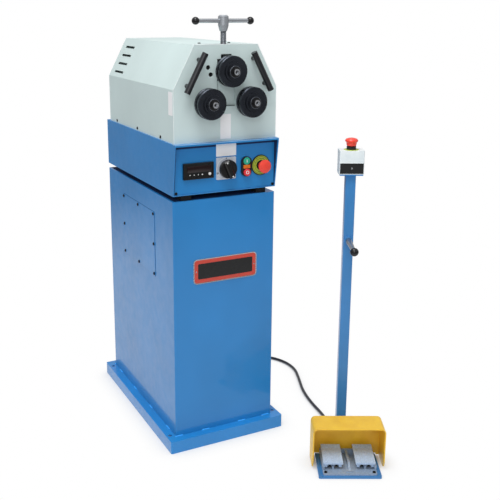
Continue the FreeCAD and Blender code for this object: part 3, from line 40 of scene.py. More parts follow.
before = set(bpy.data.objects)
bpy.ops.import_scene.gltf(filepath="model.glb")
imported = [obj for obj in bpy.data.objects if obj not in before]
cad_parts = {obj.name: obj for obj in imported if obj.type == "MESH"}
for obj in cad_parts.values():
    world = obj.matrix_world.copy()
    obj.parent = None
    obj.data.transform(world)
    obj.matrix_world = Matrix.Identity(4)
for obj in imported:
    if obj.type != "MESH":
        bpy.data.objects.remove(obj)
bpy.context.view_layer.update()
MM = 0.001
X, Y, Z = range(3)
ROLLS = ("left", "right", "top")

# The foot station's own frame in the machine's: millimetres, and a turn about Z.
STATION_PLACE = (222, -669, 0)
STATION_TURN = (0, 0, math.radians(-26.5))


def span(node):
    """The low and the high corner of a CAD node's box in millimetres."""
    low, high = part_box(node)
    return low / MM, high / MM


def middle(node):
    """The middle of a CAD node's box in millimetres."""
    low, high = span(node)
    return (low + high) / 2


def tone(red, green, blue):
    """A screen colour from 0 to 255 as the linear colour that a socket takes."""
    parts = [v / 255 for v in (red, green, blue)]
    return (*(v / 12.92 if v <= 0.04045 else ((v + 0.055) / 1.055) ** 2.4 for v in parts), 1.0)


def shade(colour, factor):
    """A lighter or darker tone of a linear colour."""
    return (*(min(1.0, v * factor) for v in colour[:3]), 1.0)


def given(thing, **settings):
    """Give a thing its settings."""
    for name, value in settings.items():
        setattr(thing, name, value)
    return thing


def linked(name, data):
    """Make an object of some data, in the scene's own collection."""
    made = bpy.data.objects.new(name, data)
    bpy.context.scene.collection.objects.link(made)
    return made


# ---- settings

def colour_setting(label, purpose, red, green, blue):
    return bpy.props.FloatVectorProperty(
        name=label, description=purpose, subtype='COLOR', size=4, min=0, max=1,
        default=tone(red, green, blue))


def length_setting(label, purpose, millimetres):
    return bpy.props.FloatProperty(
        name=label, description=purpose, default=millimetres * MM, min=0, unit='LENGTH',
        precision=4)


def light_setting(label, purpose, strength, unit='NONE'):
    return bpy.props.FloatProperty(name=label, description=purpose, default=strength, min=0,
                                   unit=unit)


class RollerPaint(bpy.types.PropertyGroup):
    """Colours that a workshop would order the machine in."""
    machine: colour_setting("Machine", "Gloss paint of pan, stand and control box",
                            36, 133, 203)
    covers: colour_setting("Covers", "Paint of the bending head's covers", 208, 226, 225)
    hood: colour_setting("Hood", "Pedal hood's colour", 255, 200, 56)
    badge: colour_setting("Badge", "Border of the blank badge plate", 208, 66, 50)


class CableSizes(bpy.types.PropertyGroup):
    """Cable between the stand and the foot station."""
    diameter: length_setting("Diameter", "Outside of the cable's sheath", 10)
    length: length_setting("Length", "Whole length between the two glands", 1028)


class FastenerSizes(bpy.types.PropertyGroup):
    """Screw heads and welds."""
    panel_head: length_setting("Panel screws", "Head diameter of the panel's screws", 8.5)
    cover_head: length_setting("Cover screws", "Head diameter of hatch and cover screws", 10)
    weld_length: length_setting("Stitch weld", "Length of one stitch at the stand's foot", 24)


class ThreadSizes(bpy.types.PropertyGroup):
    """Feed screw's thread."""
    pitch: length_setting("Pitch", "Advance of the screw in one turn", 4)
    depth: length_setting("Depth", "Depth of the thread", 1.5)


class StageLight(bpy.types.PropertyGroup):
    """Floor and studio light."""
    floor: colour_setting("Floor", "Colour of the studio floor", 236, 237, 240)
    sky: light_setting("Sky", "Strength of the even light from all sides", 0.47)
    key: light_setting("Key lamp", "Power of the large lamp above", 54, 'POWER')
    fill: light_setting("Fill lamp", "Power of the lamp in front", 18, 'POWER')
    sweep: length_setting("Sweep", "Radius of the floor that shows bright in gloss", 2800)


# ---- finishes

class Nodes:
    """A node tree in the making."""

    def __init__(self, tree):
        self.tree = tree

    def add(self, kind, inputs=None, **settings):
        """Add a node; `inputs` gives sockets, by name or number, a value or an output."""
        node = given(self.tree.nodes.new(kind), **settings)
        for socket, value in (inputs or {}).items():
            if isinstance(value, bpy.types.NodeSocket):
                self.join(value, node.inputs[socket])
            else:
                node.inputs[socket].default_value = value
        return node

    def join(self, output, node_input):
        self.tree.links.new(output, node_input)

    def spread(self, factor, low, high, start=0.3, end=0.7):
        """Carry a factor to a range of plain numbers."""
        return self.add("ShaderNodeMapRange", {
            "From Min": start, "From Max": end, "To Min": low, "To Max": high,
            "Value": factor}).outputs["Result"]

    def combine(self, operation, first, second):
        """Work out a number from two outputs."""
        return self.add("ShaderNodeMath", {0: first, 1: second}, operation=operation).outputs[0]

    def white(self, kind, strength=1.0):
        """A white background or emission."""
        return self.add(kind, {"Color": (1, 1, 1, 1), "Strength": strength})

    def finish_with(self, share, first, second, output):
        """Mix two shaders by a share and join them to the tree's output node."""
        mix = self.add("ShaderNodeMixShader", {0: share, 1: first, 2: second})
        self.join(mix.outputs["Shader"], self.tree.nodes[output].inputs["Surface"])


class Finish(Nodes):
    """A material in the making: object coordinates in, one shader out."""

    def __init__(self, name, **sockets):
        self.material = bpy.data.materials.new(name)
        self.material.use_nodes = True
        super().__init__(self.material.node_tree)
        self.shader = self.tree.nodes["Principled BSDF"]
        for socket, value in sockets.items():
            self.shader.inputs[socket.replace("_", " ")].default_value = value
        self.place = self.add("ShaderNodeTexCoord").outputs["Object"]

    def mapped(self, location=(0, 0, 0), scale=(1, 1, 1)):
        """Object coordinates, scaled and then shifted."""
        return self.add("ShaderNodeMapping", {
            "Vector": self.place, "Location": location, "Scale": scale}).outputs["Vector"]

    def noise(self, scale, detail=3.0, stretch=None):
        """Even noise, or drawn out along an axis when `stretch` gives three factors."""
        place = self.mapped(scale=stretch) if stretch else self.place
        return self.add("ShaderNodeTexNoise", {
            "Vector": place, "Scale": scale, "Detail": detail}).outputs["Fac"]

    def rings(self, centre, axis, per_metre):
        """Turning marks about an axis through `centre`, which is in millimetres."""
        return self.add("ShaderNodeTexWave", {
            "Vector": self.mapped(-centre * MM), "Scale": per_metre, "Distortion": 0.6},
            wave_type='RINGS', rings_direction=axis).outputs["Fac"]

    def distance(self, place):
        """How far a coordinate lies from its origin."""
        return self.add("ShaderNodeVectorMath", {0: place}, operation='LENGTH').outputs["Value"]

    def ramp(self, factor, *stops):
        """Colours at places between 0 and 1."""
        node = self.add("ShaderNodeValToRGB", {"Fac": factor})
        band = node.color_ramp.elements
        while len(band) < len(stops):
            band.new(0.5)
        for element, (place, colour) in zip(band, stops):
            given(element, position=place, color=colour)
        return node.outputs["Color"]

    def tones(self, factor, colour, *stops):
        """Darker and lighter tones of one colour, each a place and its brightness."""
        return self.ramp(factor, *((place, shade(colour, light)) for place, light in stops))

    def dressed(self, colour, roughness, height, depth, strength):
        """Join colour, roughness and a bump `depth` metres deep; return the material."""
        bump = self.add("ShaderNodeBump", {
            "Height": height, "Distance": depth, "Strength": strength})
        for source, socket in ((colour, "Base Color"), (roughness, "Roughness"),
                               (bump.outputs["Normal"], "Normal")):
            self.join(source, self.shader.inputs[socket])
        return self.material


def gloss_paint(name, colour):
    """Wet-sprayed enamel: soft tonal drift, orange peel and a clear skin."""
    paint = Finish(name, Specular_IOR_Level=0.3, Coat_Weight=0.5, Coat_Roughness=0.08)
    return paint.dressed(
        paint.tones(paint.noise(5.0, 2.0), colour, (0.30, 0.93), (0.52, 1.0), (0.74, 1.07)),
        paint.spread(paint.noise(38.0, 4.0), 0.34, 0.46), paint.noise(420.0, 1.0), 0.00004, 0.25)


def powder_coat(name, colour):
    """Baked powder on sheet: fine dimples and hardly any drift in tone."""
    powder = Finish(name, Coat_Weight=0.15, Coat_Roughness=0.3)
    return powder.dressed(
        powder.tones(powder.noise(4.0, 2.0), colour, (0.32, 0.95), (0.70, 1.04)),
        powder.spread(powder.noise(60.0), 0.42, 0.55), powder.noise(900.0, 2.0), 0.00005, 0.4)


def moulding(name, colour, roughness=0.45, grain=1600.0, depth=0.00004):
    """Moulded plastic with the fine spark grain of its tool."""
    plastic = Finish(name, IOR=1.47)
    return plastic.dressed(
        plastic.tones(plastic.noise(24.0), colour, (0.3, 0.9), (0.7, 1.08)),
        plastic.spread(plastic.noise(90.0), roughness - 0.05, roughness + 0.07),
        plastic.noise(grain, 2.0), depth, 0.5)


def rubber(name, colour):
    """Matt rubber with a chalky bloom."""
    soft = Finish(name, Specular_IOR_Level=0.3)
    return soft.dressed(
        soft.tones(soft.noise(70.0, 5.0), colour, (0.3, 0.8), (0.75, 1.0)),
        soft.spread(soft.noise(120.0), 0.72, 0.88), soft.noise(700.0), 0.00008, 0.6)


def turned_metal(name, colour, centre, axis, roughness, metallic, per_metre=900.0):
    """Lathe-turned metal: rings about its axis and patchy oil."""
    metal = Finish(name, Metallic=metallic)
    return metal.dressed(
        metal.tones(metal.noise(30.0, 4.0), colour, (0.3, 0.82), (0.7, 1.1)),
        metal.spread(metal.noise(55.0), roughness - 0.06, roughness + 0.08),
        metal.rings(centre, axis, per_metre), 0.00003, 0.5)


def bolt_finish(name, colour, washer_black_and_socket_shade, centre, head, socket):
    """Bright turned head about a Y axis, with painted shade inside its socket and the washer's own
    black outside it.

    The radii `head` and `socket` are in millimetres; within `socket` the dark colour is painted
    shade.
    """
    bolt = Finish(name)
    away = bolt.distance(bolt.mapped((-centre.x * MM, 0, -centre.z * MM), (1, 0, 1)))
    within = bolt.spread(away, 1.0, 0.0, head * MM, (head + 0.1) * MM)
    # Inside `socket` the head takes the dark colour: painted shade in the socket's recess.
    outside_socket_shade = bolt.spread(away, 0.0, 1.0, socket * MM, (socket + 0.2) * MM)
    bright = bolt.combine('MULTIPLY', within, outside_socket_shade)
    bolt.join(bright, bolt.shader.inputs["Metallic"])
    return bolt.dressed(bolt.ramp(bright, (0.4, washer_black_and_socket_shade), (0.6, colour)),
                        bolt.spread(bolt.noise(160.0), 0.2, 0.36),
                        bolt.rings(centre, 'Y', 1400.0), 0.00003, 0.5)


def drawn_metal(name, colour, stretch, roughness):
    """Drawn or ground bar: fine scratches along its length."""
    metal = Finish(name, Metallic=1.0)
    scratch = metal.noise(300.0, 4.0, stretch)
    return metal.dressed(metal.tones(scratch, colour, (0.3, 0.85), (0.7, 1.1)),
                         metal.spread(scratch, roughness - 0.07, roughness + 0.1),
                         scratch, 0.00002, 0.4)


def cast_metal(name, colour, roughness, metallic, grain=260.0):
    """Sand or die casting: lumpy skin, darker in its pits."""
    metal = Finish(name, Metallic=metallic)
    skin = metal.noise(grain, 5.0)
    return metal.dressed(metal.tones(skin, colour, (0.3, 0.7), (0.6, 1.0), (0.8, 1.15)),
                         metal.spread(skin, roughness + 0.08, roughness - 0.06),
                         skin, 0.0002, 0.45)


def floor_finish(colour, sweep):
    """Pale studio floor: white to the camera where it lies open, shaded where it is covered.

    In gloss it shows as bright within the sweep's radius and dim beyond it.
    """
    floor = Finish("studio_floor", Roughness=0.9, Specular_IOR_Level=0.1)
    floor.join(floor.tones(floor.noise(1.2, 2.0), colour, (0.3, 0.995), (0.7, 1.0)),
               floor.shader.inputs["Base Color"])
    dim, shadow_reach = 0.25, 0.07
    near = floor.spread(floor.distance(floor.place), 1.0, dim, 0.6 * sweep, 1.2 * sweep)
    cover = floor.add("ShaderNodeAmbientOcclusion", {"Distance": shadow_reach}, samples=12)
    open_floor = floor.spread(cover.outputs["AO"], 0.0, 1.0, 0.15, 0.95)
    ray = floor.add("ShaderNodeLightPath").outputs
    glow = floor.white("ShaderNodeEmission",
                       floor.combine('MAXIMUM', ray["Is Camera Ray"], near))
    shown = floor.combine('MULTIPLY', ray["Is Camera Ray"], open_floor)
    floor.finish_with(floor.combine('MAXIMUM', shown, ray["Is Glossy Ray"]),
                      floor.shader.outputs["BSDF"], glow.outputs["Emission"], "Material Output")
    return floor.material


FINISHES = {}


def mix_finishes(paint):
    """Every finish of the machine, by its own name."""
    machine, black, steel = tuple(paint.machine), tone(20, 21, 23), tone(176, 180, 186)
    along_x, along_y, along_z = (0.05, 1, 1), (1, 0.06, 1), (1, 1, 0.08)
    recipes = {
        "machine_enamel": (gloss_paint, machine),
        # The pan's enamel is a lighter copy of the machine paint: painted light on the pan's top.
        "pan_enamel": (gloss_paint, shade(machine, 1.15)),
        # Welds take a much lighter copy of the machine paint: a painted highlight for their glints.
        "weld_enamel": (gloss_paint, shade(machine, 1.7)),
        # Pale blue: painted highlight along the control box's lip fold.
        "fold_enamel": (gloss_paint, tone(132, 182, 226)),
        "station_enamel": (gloss_paint, tone(58, 132, 196)),
        "motor_enamel": (gloss_paint, tone(70, 78, 88)),
        "black_enamel": (gloss_paint, tone(14, 16, 24)),
        "badge_enamel": (gloss_paint, tuple(paint.badge)),
        "cover_powder": (powder_coat, tuple(paint.covers)),
        # Near white: painted highlight along the head's folds.
        "fold_powder": (powder_coat, tone(236, 246, 246)),
        "blank_plate": (powder_coat, tone(250, 251, 253)),
        "hood_plastic": (moulding, tuple(paint.hood), 0.38, 900.0, 0.00005),
        "black_moulding": (moulding, black, 0.42),
        "knob_black": (moulding, tone(8, 9, 12), 0.3),
        "ball_plastic": (moulding, tone(12, 12, 15), 0.16, 300.0, 0.00001),
        "grey_moulding": (moulding, tone(204, 211, 222), 0.36),
        "box_moulding": (moulding, tone(240, 251, 255), 0.38),
        "red_moulding": (moulding, tone(252, 74, 58), 0.3),
        "stop_red": (moulding, tone(226, 52, 62), 0.32),
        "start_green": (moulding, tone(38, 178, 146), 0.32),
        "white_print": (moulding, tone(238, 240, 240), 0.45),
        "yellow_print": (moulding, tone(184, 204, 70), 0.42),
        "olive_print": (moulding, tone(70, 84, 30), 0.42),
        "counter_glass": (moulding, tone(26, 4, 8), 0.12, 200.0, 0.00001),
        "amber_lens": (moulding, tone(236, 122, 32), 0.15),
        "cable_sheath": (moulding, tone(44, 45, 54), 0.3, 500.0),
        # Dark navy for sheets set where gaps and recesses lie in shade: painted shade.
        "navy_sheet": (rubber, tone(30, 56, 96)),
        # Dark grey-green: painted shadow under the window's sill edge.
        "window_trim": (rubber, tone(66, 80, 80)),
        # Dark blue: painted shade in the seam round the hatch.
        "hatch_sealant": (rubber, tone(40, 82, 128)),
        "pad_rubber": (rubber, tone(24, 24, 25)),
        "screw_steel": (turned_metal, tone(120, 124, 130), middle("feed_screw"), 'Z', 0.36, 0.7),
        "bright_bar": (drawn_metal, steel, along_x, 0.26),
        "plate_steel": (drawn_metal, tone(120, 124, 128), along_z, 0.42),
        "slide_steel": (drawn_metal, tone(58, 60, 64), along_z, 0.4),
        "lever_steel": (drawn_metal, tone(168, 172, 178), along_y, 0.3),
        "hub_casting": (cast_metal, tone(176, 181, 187), 0.38, 0.7, 400.0),
        # Lighter steel on the black washers' edges: painted highlight.
        "washer_steel": (cast_metal, tone(120, 126, 136), 0.3, 0.9, 900.0),
        "fastener_black": (cast_metal, tone(28, 28, 30), 0.4, 0.6, 900.0),
        "bearing_bronze": (cast_metal, tone(176, 130, 70), 0.36, 1.0, 500.0),
        "reducer_casting": (cast_metal, tone(96, 100, 106), 0.55, 0.2),
        "pedal_casting": (cast_metal, tone(160, 180, 204), 0.4, 0.1, 340.0),
        "treadle_casting": (cast_metal, tone(196, 220, 250), 0.45, 0.05, 420.0),
    }
    for roll in ROLLS:
        centre = middle(roll + "_roller")
        recipes.update({
            roll + "_roll_black": (turned_metal, tone(58, 62, 70), centre, 'Y', 0.26, 0.9, 700.0),
            roll + "_shaft_steel": (turned_metal, steel, centre, 'Y', 0.28, 1.0),
            roll + "_bolt_steel": (bolt_finish, tone(206, 210, 216), black, centre, 8.4, 4.6),
        })
    for name, (make, *values) in recipes.items():
        FINISHES[name] = make(name, *values)


# The CAD nodes that each finish goes on.
FINISH_NODES = {
    # The pan takes the lighter copy of the machine paint: painted light.
    "pan_enamel": "base_pan",
    "machine_enamel": "stand_shell access_cover control_box control_panel",
    "station_enamel": "station_base station_pole",
    "motor_enamel": "motor",
    "black_enamel": "grab_handles",
    "cover_powder": "front_cover head_cover rear_cover slide_cover",
    "hood_plastic": "pedal_hood",
    "black_moulding": "cable_gland button_bezel panel_stop_collar call_shutter call_stop_collar",
    "knob_black": "counter_housing selector_knob",
    "ball_plastic": "bar_knobs lever_ball",
    "grey_moulding": "selector_switch relay_rail",
    "box_moulding": "call_box",
    "red_moulding": "panel_stop_head call_stop_head",
    "stop_red": "stop_button",
    "start_green": "start_button",
    "cable_sheath": "pedal_cable",
    "pad_rubber": "machine_pads",
    "screw_steel": "feed_screw",
    "bright_bar": "cross_bar",
    "plate_steel": "bed_plate front_frame_plate rear_frame_plate left_gear right_gear drive_pinion",
    "slide_steel": "slide_block",
    "lever_steel": "carry_lever",
    "hub_casting": "handle_hub",
    "bearing_bronze": "nut_block lower_bearings top_bearings",
    "reducer_casting": "gearbox",
    "pedal_casting": "pedal_casting",
    "treadle_casting": "left_pedal right_pedal",
}
for roll in ROLLS:
    FINISH_NODES.update({roll + "_roll_black": roll + "_roller",
                         roll + "_shaft_steel": roll + "_shaft",
                         roll + "_bolt_steel": roll + "_bolt"})


def coat(piece, finish):
    """Give a piece one finish, on the slot it has or on a first one."""
    material = FINISHES[finish]
    if piece.material_slots:
        piece.material_slots[0].material = material
    else:
        piece.data.materials.append(material)
    return piece


class ROLLER_OT_finishes(bpy.types.Operator):
    """Mix all finishes and put them on the machine's own nodes"""
    bl_idname = "roller.finishes"
    bl_label = "Finishes"

    def execute(self, context):
        mix_finishes(context.scene.roller_paint)
        for finish, nodes in FINISH_NODES.items():
            for name in nodes.split():
                coat(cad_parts[name], finish)
        return {'FINISHED'}


# ---- how pieces are shaped
# Places and sizes of pieces are in millimetres; Blender's own calls take them times MM.

def switch(mode):
    bpy.ops.object.mode_set(mode=mode)


def clear_choice():
    """Leave edit mode and select nothing."""
    if bpy.context.mode != 'OBJECT':
        switch('OBJECT')
    bpy.ops.object.select_all(action='DESELECT')


def take(piece):
    """Make one piece the only selected and the active one."""
    clear_choice()
    piece.select_set(True)
    bpy.context.view_layer.objects.active = piece


def apply_place():
    bpy.ops.object.transform_apply(location=True, rotation=True, scale=True)


def settled(name):
    """Name the active object and move its place into its mesh."""
    piece = given(bpy.context.active_object, name=name)
    piece.data.name = name
    apply_place()
    return piece


def aim(way):
    """The turn that brings +Z to point along `way`."""
    return Vector(way).to_track_quat('Z', 'Y').to_euler()


def begun(name, shape, **settings):
    """Begin a piece with one of Blender's own shapes."""
    clear_choice()
    shape(**settings)
    return settled(name)


def block(name, low, high):
    low, high = Vector(low) * MM, Vector(high) * MM
    return begun(name, bpy.ops.mesh.primitive_cube_add, size=1, location=(low + high) / 2,
                 scale=high - low)


def rod(name, radius, start, end, sides=32):
    start, end = Vector(start) * MM, Vector(end) * MM
    return begun(name, bpy.ops.mesh.primitive_cylinder_add, vertices=sides, radius=radius * MM,
                 depth=(end - start).length, location=(start + end) / 2,
                 rotation=aim(end - start))


def ring(name, radius, wire, centre, way, sides):
    return begun(name, bpy.ops.mesh.primitive_torus_add, major_radius=radius * MM,
                 minor_radius=wire * MM, major_segments=sides, minor_segments=10,
                 location=Vector(centre) * MM, rotation=aim(way))


def loop_beside(name, radius, wire, sides):
    """Bare loop of edges in the XZ plane, `radius` away from the Z axis."""
    return begun(name, bpy.ops.mesh.primitive_circle_add, vertices=sides, radius=wire * MM,
                 fill_type='NOTHING', location=(radius * MM, 0, 0),
                 rotation=(math.pi / 2, 0, 0))


def bar_along(name, kind, places, radius, roundness):
    """Curve through the places with a round section and closed ends."""
    line = given(bpy.data.curves.new(name, 'CURVE'), dimensions='3D', bevel_depth=radius * MM,
                 bevel_resolution=roundness, use_fill_caps=True)
    run = line.splines.new(kind)
    run.points.add(len(places) - 1)
    for point, place in zip(run.points, places):
        point.co = (*(v * MM for v in place), 1)
    return linked(name, line)


def choose(piece, accepts, kind='FACE'):
    """Enter edit mode with the faces or edges chosen whose middle and direction pass."""
    take(piece)
    switch('EDIT')
    bpy.ops.mesh.select_mode(type=kind)
    bpy.ops.mesh.select_all(action='DESELECT')
    switch('OBJECT')
    if kind == 'FACE':
        for face in piece.data.polygons:
            face.select = accepts(face.center / MM, face.normal)
    else:
        points = piece.data.vertices
        for edge in piece.data.edges:
            start, end = (points[i].co for i in edge.vertices)
            edge.select = accepts((start + end) / 2 / MM, (end - start).normalized())
    switch('EDIT')


def rounded(piece, radius, accepts, segments=3):
    """Bevel the chosen edges."""
    choose(piece, accepts, 'EDGE')
    bpy.ops.mesh.bevel(offset=radius * MM, segments=segments, affect='EDGES')
    switch('OBJECT')
    return piece


def eased(piece, radius, axis, side, segments=3):
    """Bevel the edges round a piece's outermost face on the low (-1) or high (1) side."""
    reach = max(side * point.co[axis] for point in piece.data.vertices) / MM - 0.1
    return rounded(piece, radius, lambda at, way:
                   side * at[axis] > reach and abs(way[axis]) < 0.1, segments)


def shaped(piece, kind, **settings):
    """Put a modifier on the piece and apply it."""
    modifier = given(piece.modifiers.new(kind.lower(), kind), **settings)
    take(piece)
    bpy.ops.object.modifier_apply(modifier=modifier.name)
    return piece


def bored(piece, tool):
    """Cut a tool's shape out of a piece, and drop the tool."""
    shaped(piece, 'BOOLEAN', operation='DIFFERENCE', object=tool, solver='EXACT')
    bpy.data.objects.remove(tool)
    return piece


def repeated(piece, count, step):
    """Set a piece `count` times in a row, each `step` further on, as one mesh."""
    return shaped(piece, 'ARRAY', fit_type='FIXED_COUNT', count=count,
                  use_relative_offset=False, use_constant_offset=True,
                  constant_offset_displace=Vector(step) * MM)


def wound(loop, pitch, turns, steps):
    """Wind a loop of edges round the Z axis, close its ends and turn its faces outwards."""
    sides = len(loop.data.vertices)
    shaped(loop, 'SCREW', axis='Z', angle=2 * math.pi, iterations=turns, steps=steps,
           render_steps=steps, screw_offset=pitch * MM, use_normal_calculate=True)
    take(loop)
    switch('EDIT')
    bpy.ops.mesh.select_all(action='SELECT')
    bpy.ops.mesh.fill_holes(sides=sides)
    bpy.ops.mesh.normals_make_consistent(inside=False)
    switch('OBJECT')
    return loop


def joined(piece, *others):
    """Make the others part of one piece's mesh."""
    take(piece)
    for other in others:
        other.select_set(True)
    bpy.ops.object.join()
    return piece


def fitted(piece, finish, body="machine", angle=35):
    """Smooth, finish and hand a piece to the body that it rides on."""
    take(piece)
    bpy.ops.object.shade_smooth_by_angle(angle=math.radians(angle))
    coat(piece, finish)
    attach(piece, body)
    return piece


def moved(piece, place=(0, 0, 0), turn=(0, 0, 0)):
    """Turn a piece about its origin, move it and settle it there."""
    take(piece)
    piece.location = Vector(place) * MM
    piece.rotation_euler = turn
    apply_place()
    return piece


def at_station(piece):
    """Move a piece from the foot station's own frame to the machine's."""
    return moved(piece, STATION_PLACE, STATION_TURN)


def copies(pattern, name, places, way):
    """Set a copy of the pattern at each place, its +Z turned to `way`; drop the pattern."""
    made = []
    for count, place in enumerate(places, 1):
        take(pattern)
        bpy.ops.object.duplicate()
        moved(bpy.context.active_object, place, aim(way))
        made.append(settled("%s_%d" % (name, count)))
    bpy.data.objects.remove(pattern)
    return made


def socket_screw(name, radius, height, socket):
    """Button-head screw along +Z, seated on z = 0, with a hexagon socket."""
    screw = eased(rod(name, radius, (0, 0, 0), (0, 0, height), 24), height * 0.6, Z, 1)
    return bored(screw, rod("socket_tool", socket / math.sqrt(3), (0, 0, height * 0.3),
                            (0, 0, height * 2), 6))


def plate(name, low, high, corner, axis=Y, rim=0.0, depth=0.0):
    """Thin plate with rounded corners; with a rim, its front face lies lower inside it.

    The front faces the low side of `axis`.
    """
    made = rounded(block(name, low, high), corner, lambda at, way: abs(way[axis]) > 0.99, 5)
    if rim:
        choose(made, lambda at, way: way[axis] < -0.99)
        bpy.ops.mesh.inset(thickness=rim * MM, depth=-depth * MM)
        switch('OBJECT')
    return made


def tablet(name, centre, half_width, half_height, proud, sunk, corner):
    """Small plate about a point on a face that looks along -Y."""
    half = Vector((half_width, 0, half_height))
    return plate(name, Vector(centre) - half - Vector((0, proud, 0)),
                 Vector(centre) + half + Vector((0, sunk, 0)), corner)


def weld_bead(name, length, leg, start, turn):
    """Stitch weld from its start, its scales lying over one another; `turn` in degrees."""
    scale = begun(name, bpy.ops.mesh.primitive_uv_sphere_add, segments=12, ring_count=8,
                  radius=leg * MM, scale=(0.75, 0.8, 0.55))
    step = leg * 0.55
    bead = repeated(scale, max(2, round(length / step)), (step, 0, 0))
    return moved(bead, start, (0, 0, math.radians(turn)))


# ---- cable

# Route of the cable's middle line: gland, floor, over the station's plate.
CABLE_ROUTE = [
    (165, 214, 84), (238, 214, 84), (316, 206, 42), (385, 180, 5.2), (439, 116, 5.2),
    (452, 30, 5.2), (420, -56, 5.2), (383, -142, 5.2), (362, -230, 5.2), (352, -314, 6),
    (328, -390, 15.5), (290, -466, 15), (267, -522.7, 28), (251.8, -553.1, 28),
]


class ROLLER_OT_cable(bpy.types.Operator):
    """Lay the cable from the stand's gland to the foot station"""
    bl_idname = "roller.cable"
    bl_label = "Cable"

    def execute(self, context):
        sizes = context.scene.roller_cable
        cable = bar_along("station_cable", 'NURBS', CABLE_ROUTE, sizes.diameter / 2 / MM, 5)
        cable.data.resolution_u = 16
        given(cable.data.splines[0], order_u=3, use_endpoint_u=True)
        coat(cable, "cable_sheath")
        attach(cable, "machine")
        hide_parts("pedal_cable")
        return {'FINISHED'}


# ---- fasteners and welds

class ROLLER_OT_fasteners(bpy.types.Operator):
    """Set the screws of hatch, panel, covers, pedal and call box"""
    bl_idname = "roller.fasteners"
    bl_label = "Fasteners"

    def execute(self, context):
        sizes = context.scene.roller_fasteners
        small, large = sizes.panel_head / 2 / MM, sizes.cover_head / 2 / MM
        cover = large * 0.9
        hatch, panel = span("access_cover")[0].x, span("control_panel")[0].y
        low, high = span("head_cover")
        sill, rear = span("bed_plate")[0].z + 8, span("rear_cover")[1].y
        rows = (
            ("hatch_screw", large, (-1, 0, 0),
             [(hatch, y, z) for y in (-135, 0, 135) for z in (525, 621, 717)
              if (y, z) != (0, 621)]),
            ("panel_screw", small, (0, -1, 0),
             [(x, panel, z) for x in (-157, 160) for z in (811, 946)]),
            ("cover_screw_left", cover, (-1, 0, 0), [(low.x, y, sill) for y in (-195, 0, 195)]),
            ("cover_screw_right", cover, (1, 0, 0), [(high.x, y, sill) for y in (-195, 0, 195)]),
            ("ridge_screw", cover, (0, 0, 1), [(x, -215, high.z) for x in (-48, 48)]),
            ("rear_screw", cover, (0, 1, 0),
             [(side * x, rear, z) for x, z in ((145, 975), (145, 1095), (82, 1212))
              for side in (-1, 1)]),
        )
        for name, radius, way, places in rows:
            pattern = socket_screw("screw_pattern", radius, radius * 0.55, radius * 0.95)
            for screw in copies(pattern, name, places, way):
                fitted(screw, "fastener_black")
        flange_middle, flange_top = 13.5, 13
        for word, x in (("left", -71), ("right", 71)):
            screw = moved(socket_screw(word + "_flange_screw", large, 3.4, 4.5),
                          (x, flange_middle, flange_top))
            fitted(at_station(screw), "fastener_black")
        shutter, forwards = (4, 234.5, 874), (math.pi / 2, 0, 0)
        screw = moved(socket_screw("shutter_screw", 2.8, 1.6, 2.2), shutter, forwards)
        fitted(at_station(screw), "bright_bar")
        return {'FINISHED'}


class ROLLER_OT_welds(bpy.types.Operator):
    """Lay the stitch welds at the stand's foot and the bead round the pole's foot"""
    bl_idname = "roller.welds"
    bl_label = "Welds"

    def execute(self, context):
        low, high = span("stand_shell")
        top = span("base_pan")[1].z
        length = context.scene.roller_fasteners.weld_length / MM
        foot_leg, pole_leg = 4.6, 3
        stitches = [("%s_weld_%d" % (word, count), (x - length / 2, y, top), 0)
                    for count, x in enumerate((-156, -65, 62, 148), 1)
                    for word, y in (("front", low.y), ("rear", high.y))]
        stitches += [("%s_weld_%d" % (word, count), (x, y - length / 2, top), 90)
                     for word, x in (("left", low.x), ("right", high.x))
                     for count, y in enumerate((-225, -75, 75, 225), 1)]
        # The stitch welds take a painted highlight: a lighter copy of the machine paint.
        for name, start, turn in stitches:
            fitted(weld_bead(name, length, foot_leg, start, turn), "weld_enamel")
        pole_side, plate_top = 30, 8
        corners = ((-11, 245, 0), (19, 245, 90), (19, 275, 180), (-11, 275, 270))
        # The pole's welds take the same painted highlight.
        for count, (x, y, turn) in enumerate(corners, 1):
            bead = weld_bead("pole_weld_%d" % count, pole_side - 1, pole_leg,
                             (x, y, plate_top), turn)
            fitted(at_station(bead), "weld_enamel")
        return {'FINISHED'}
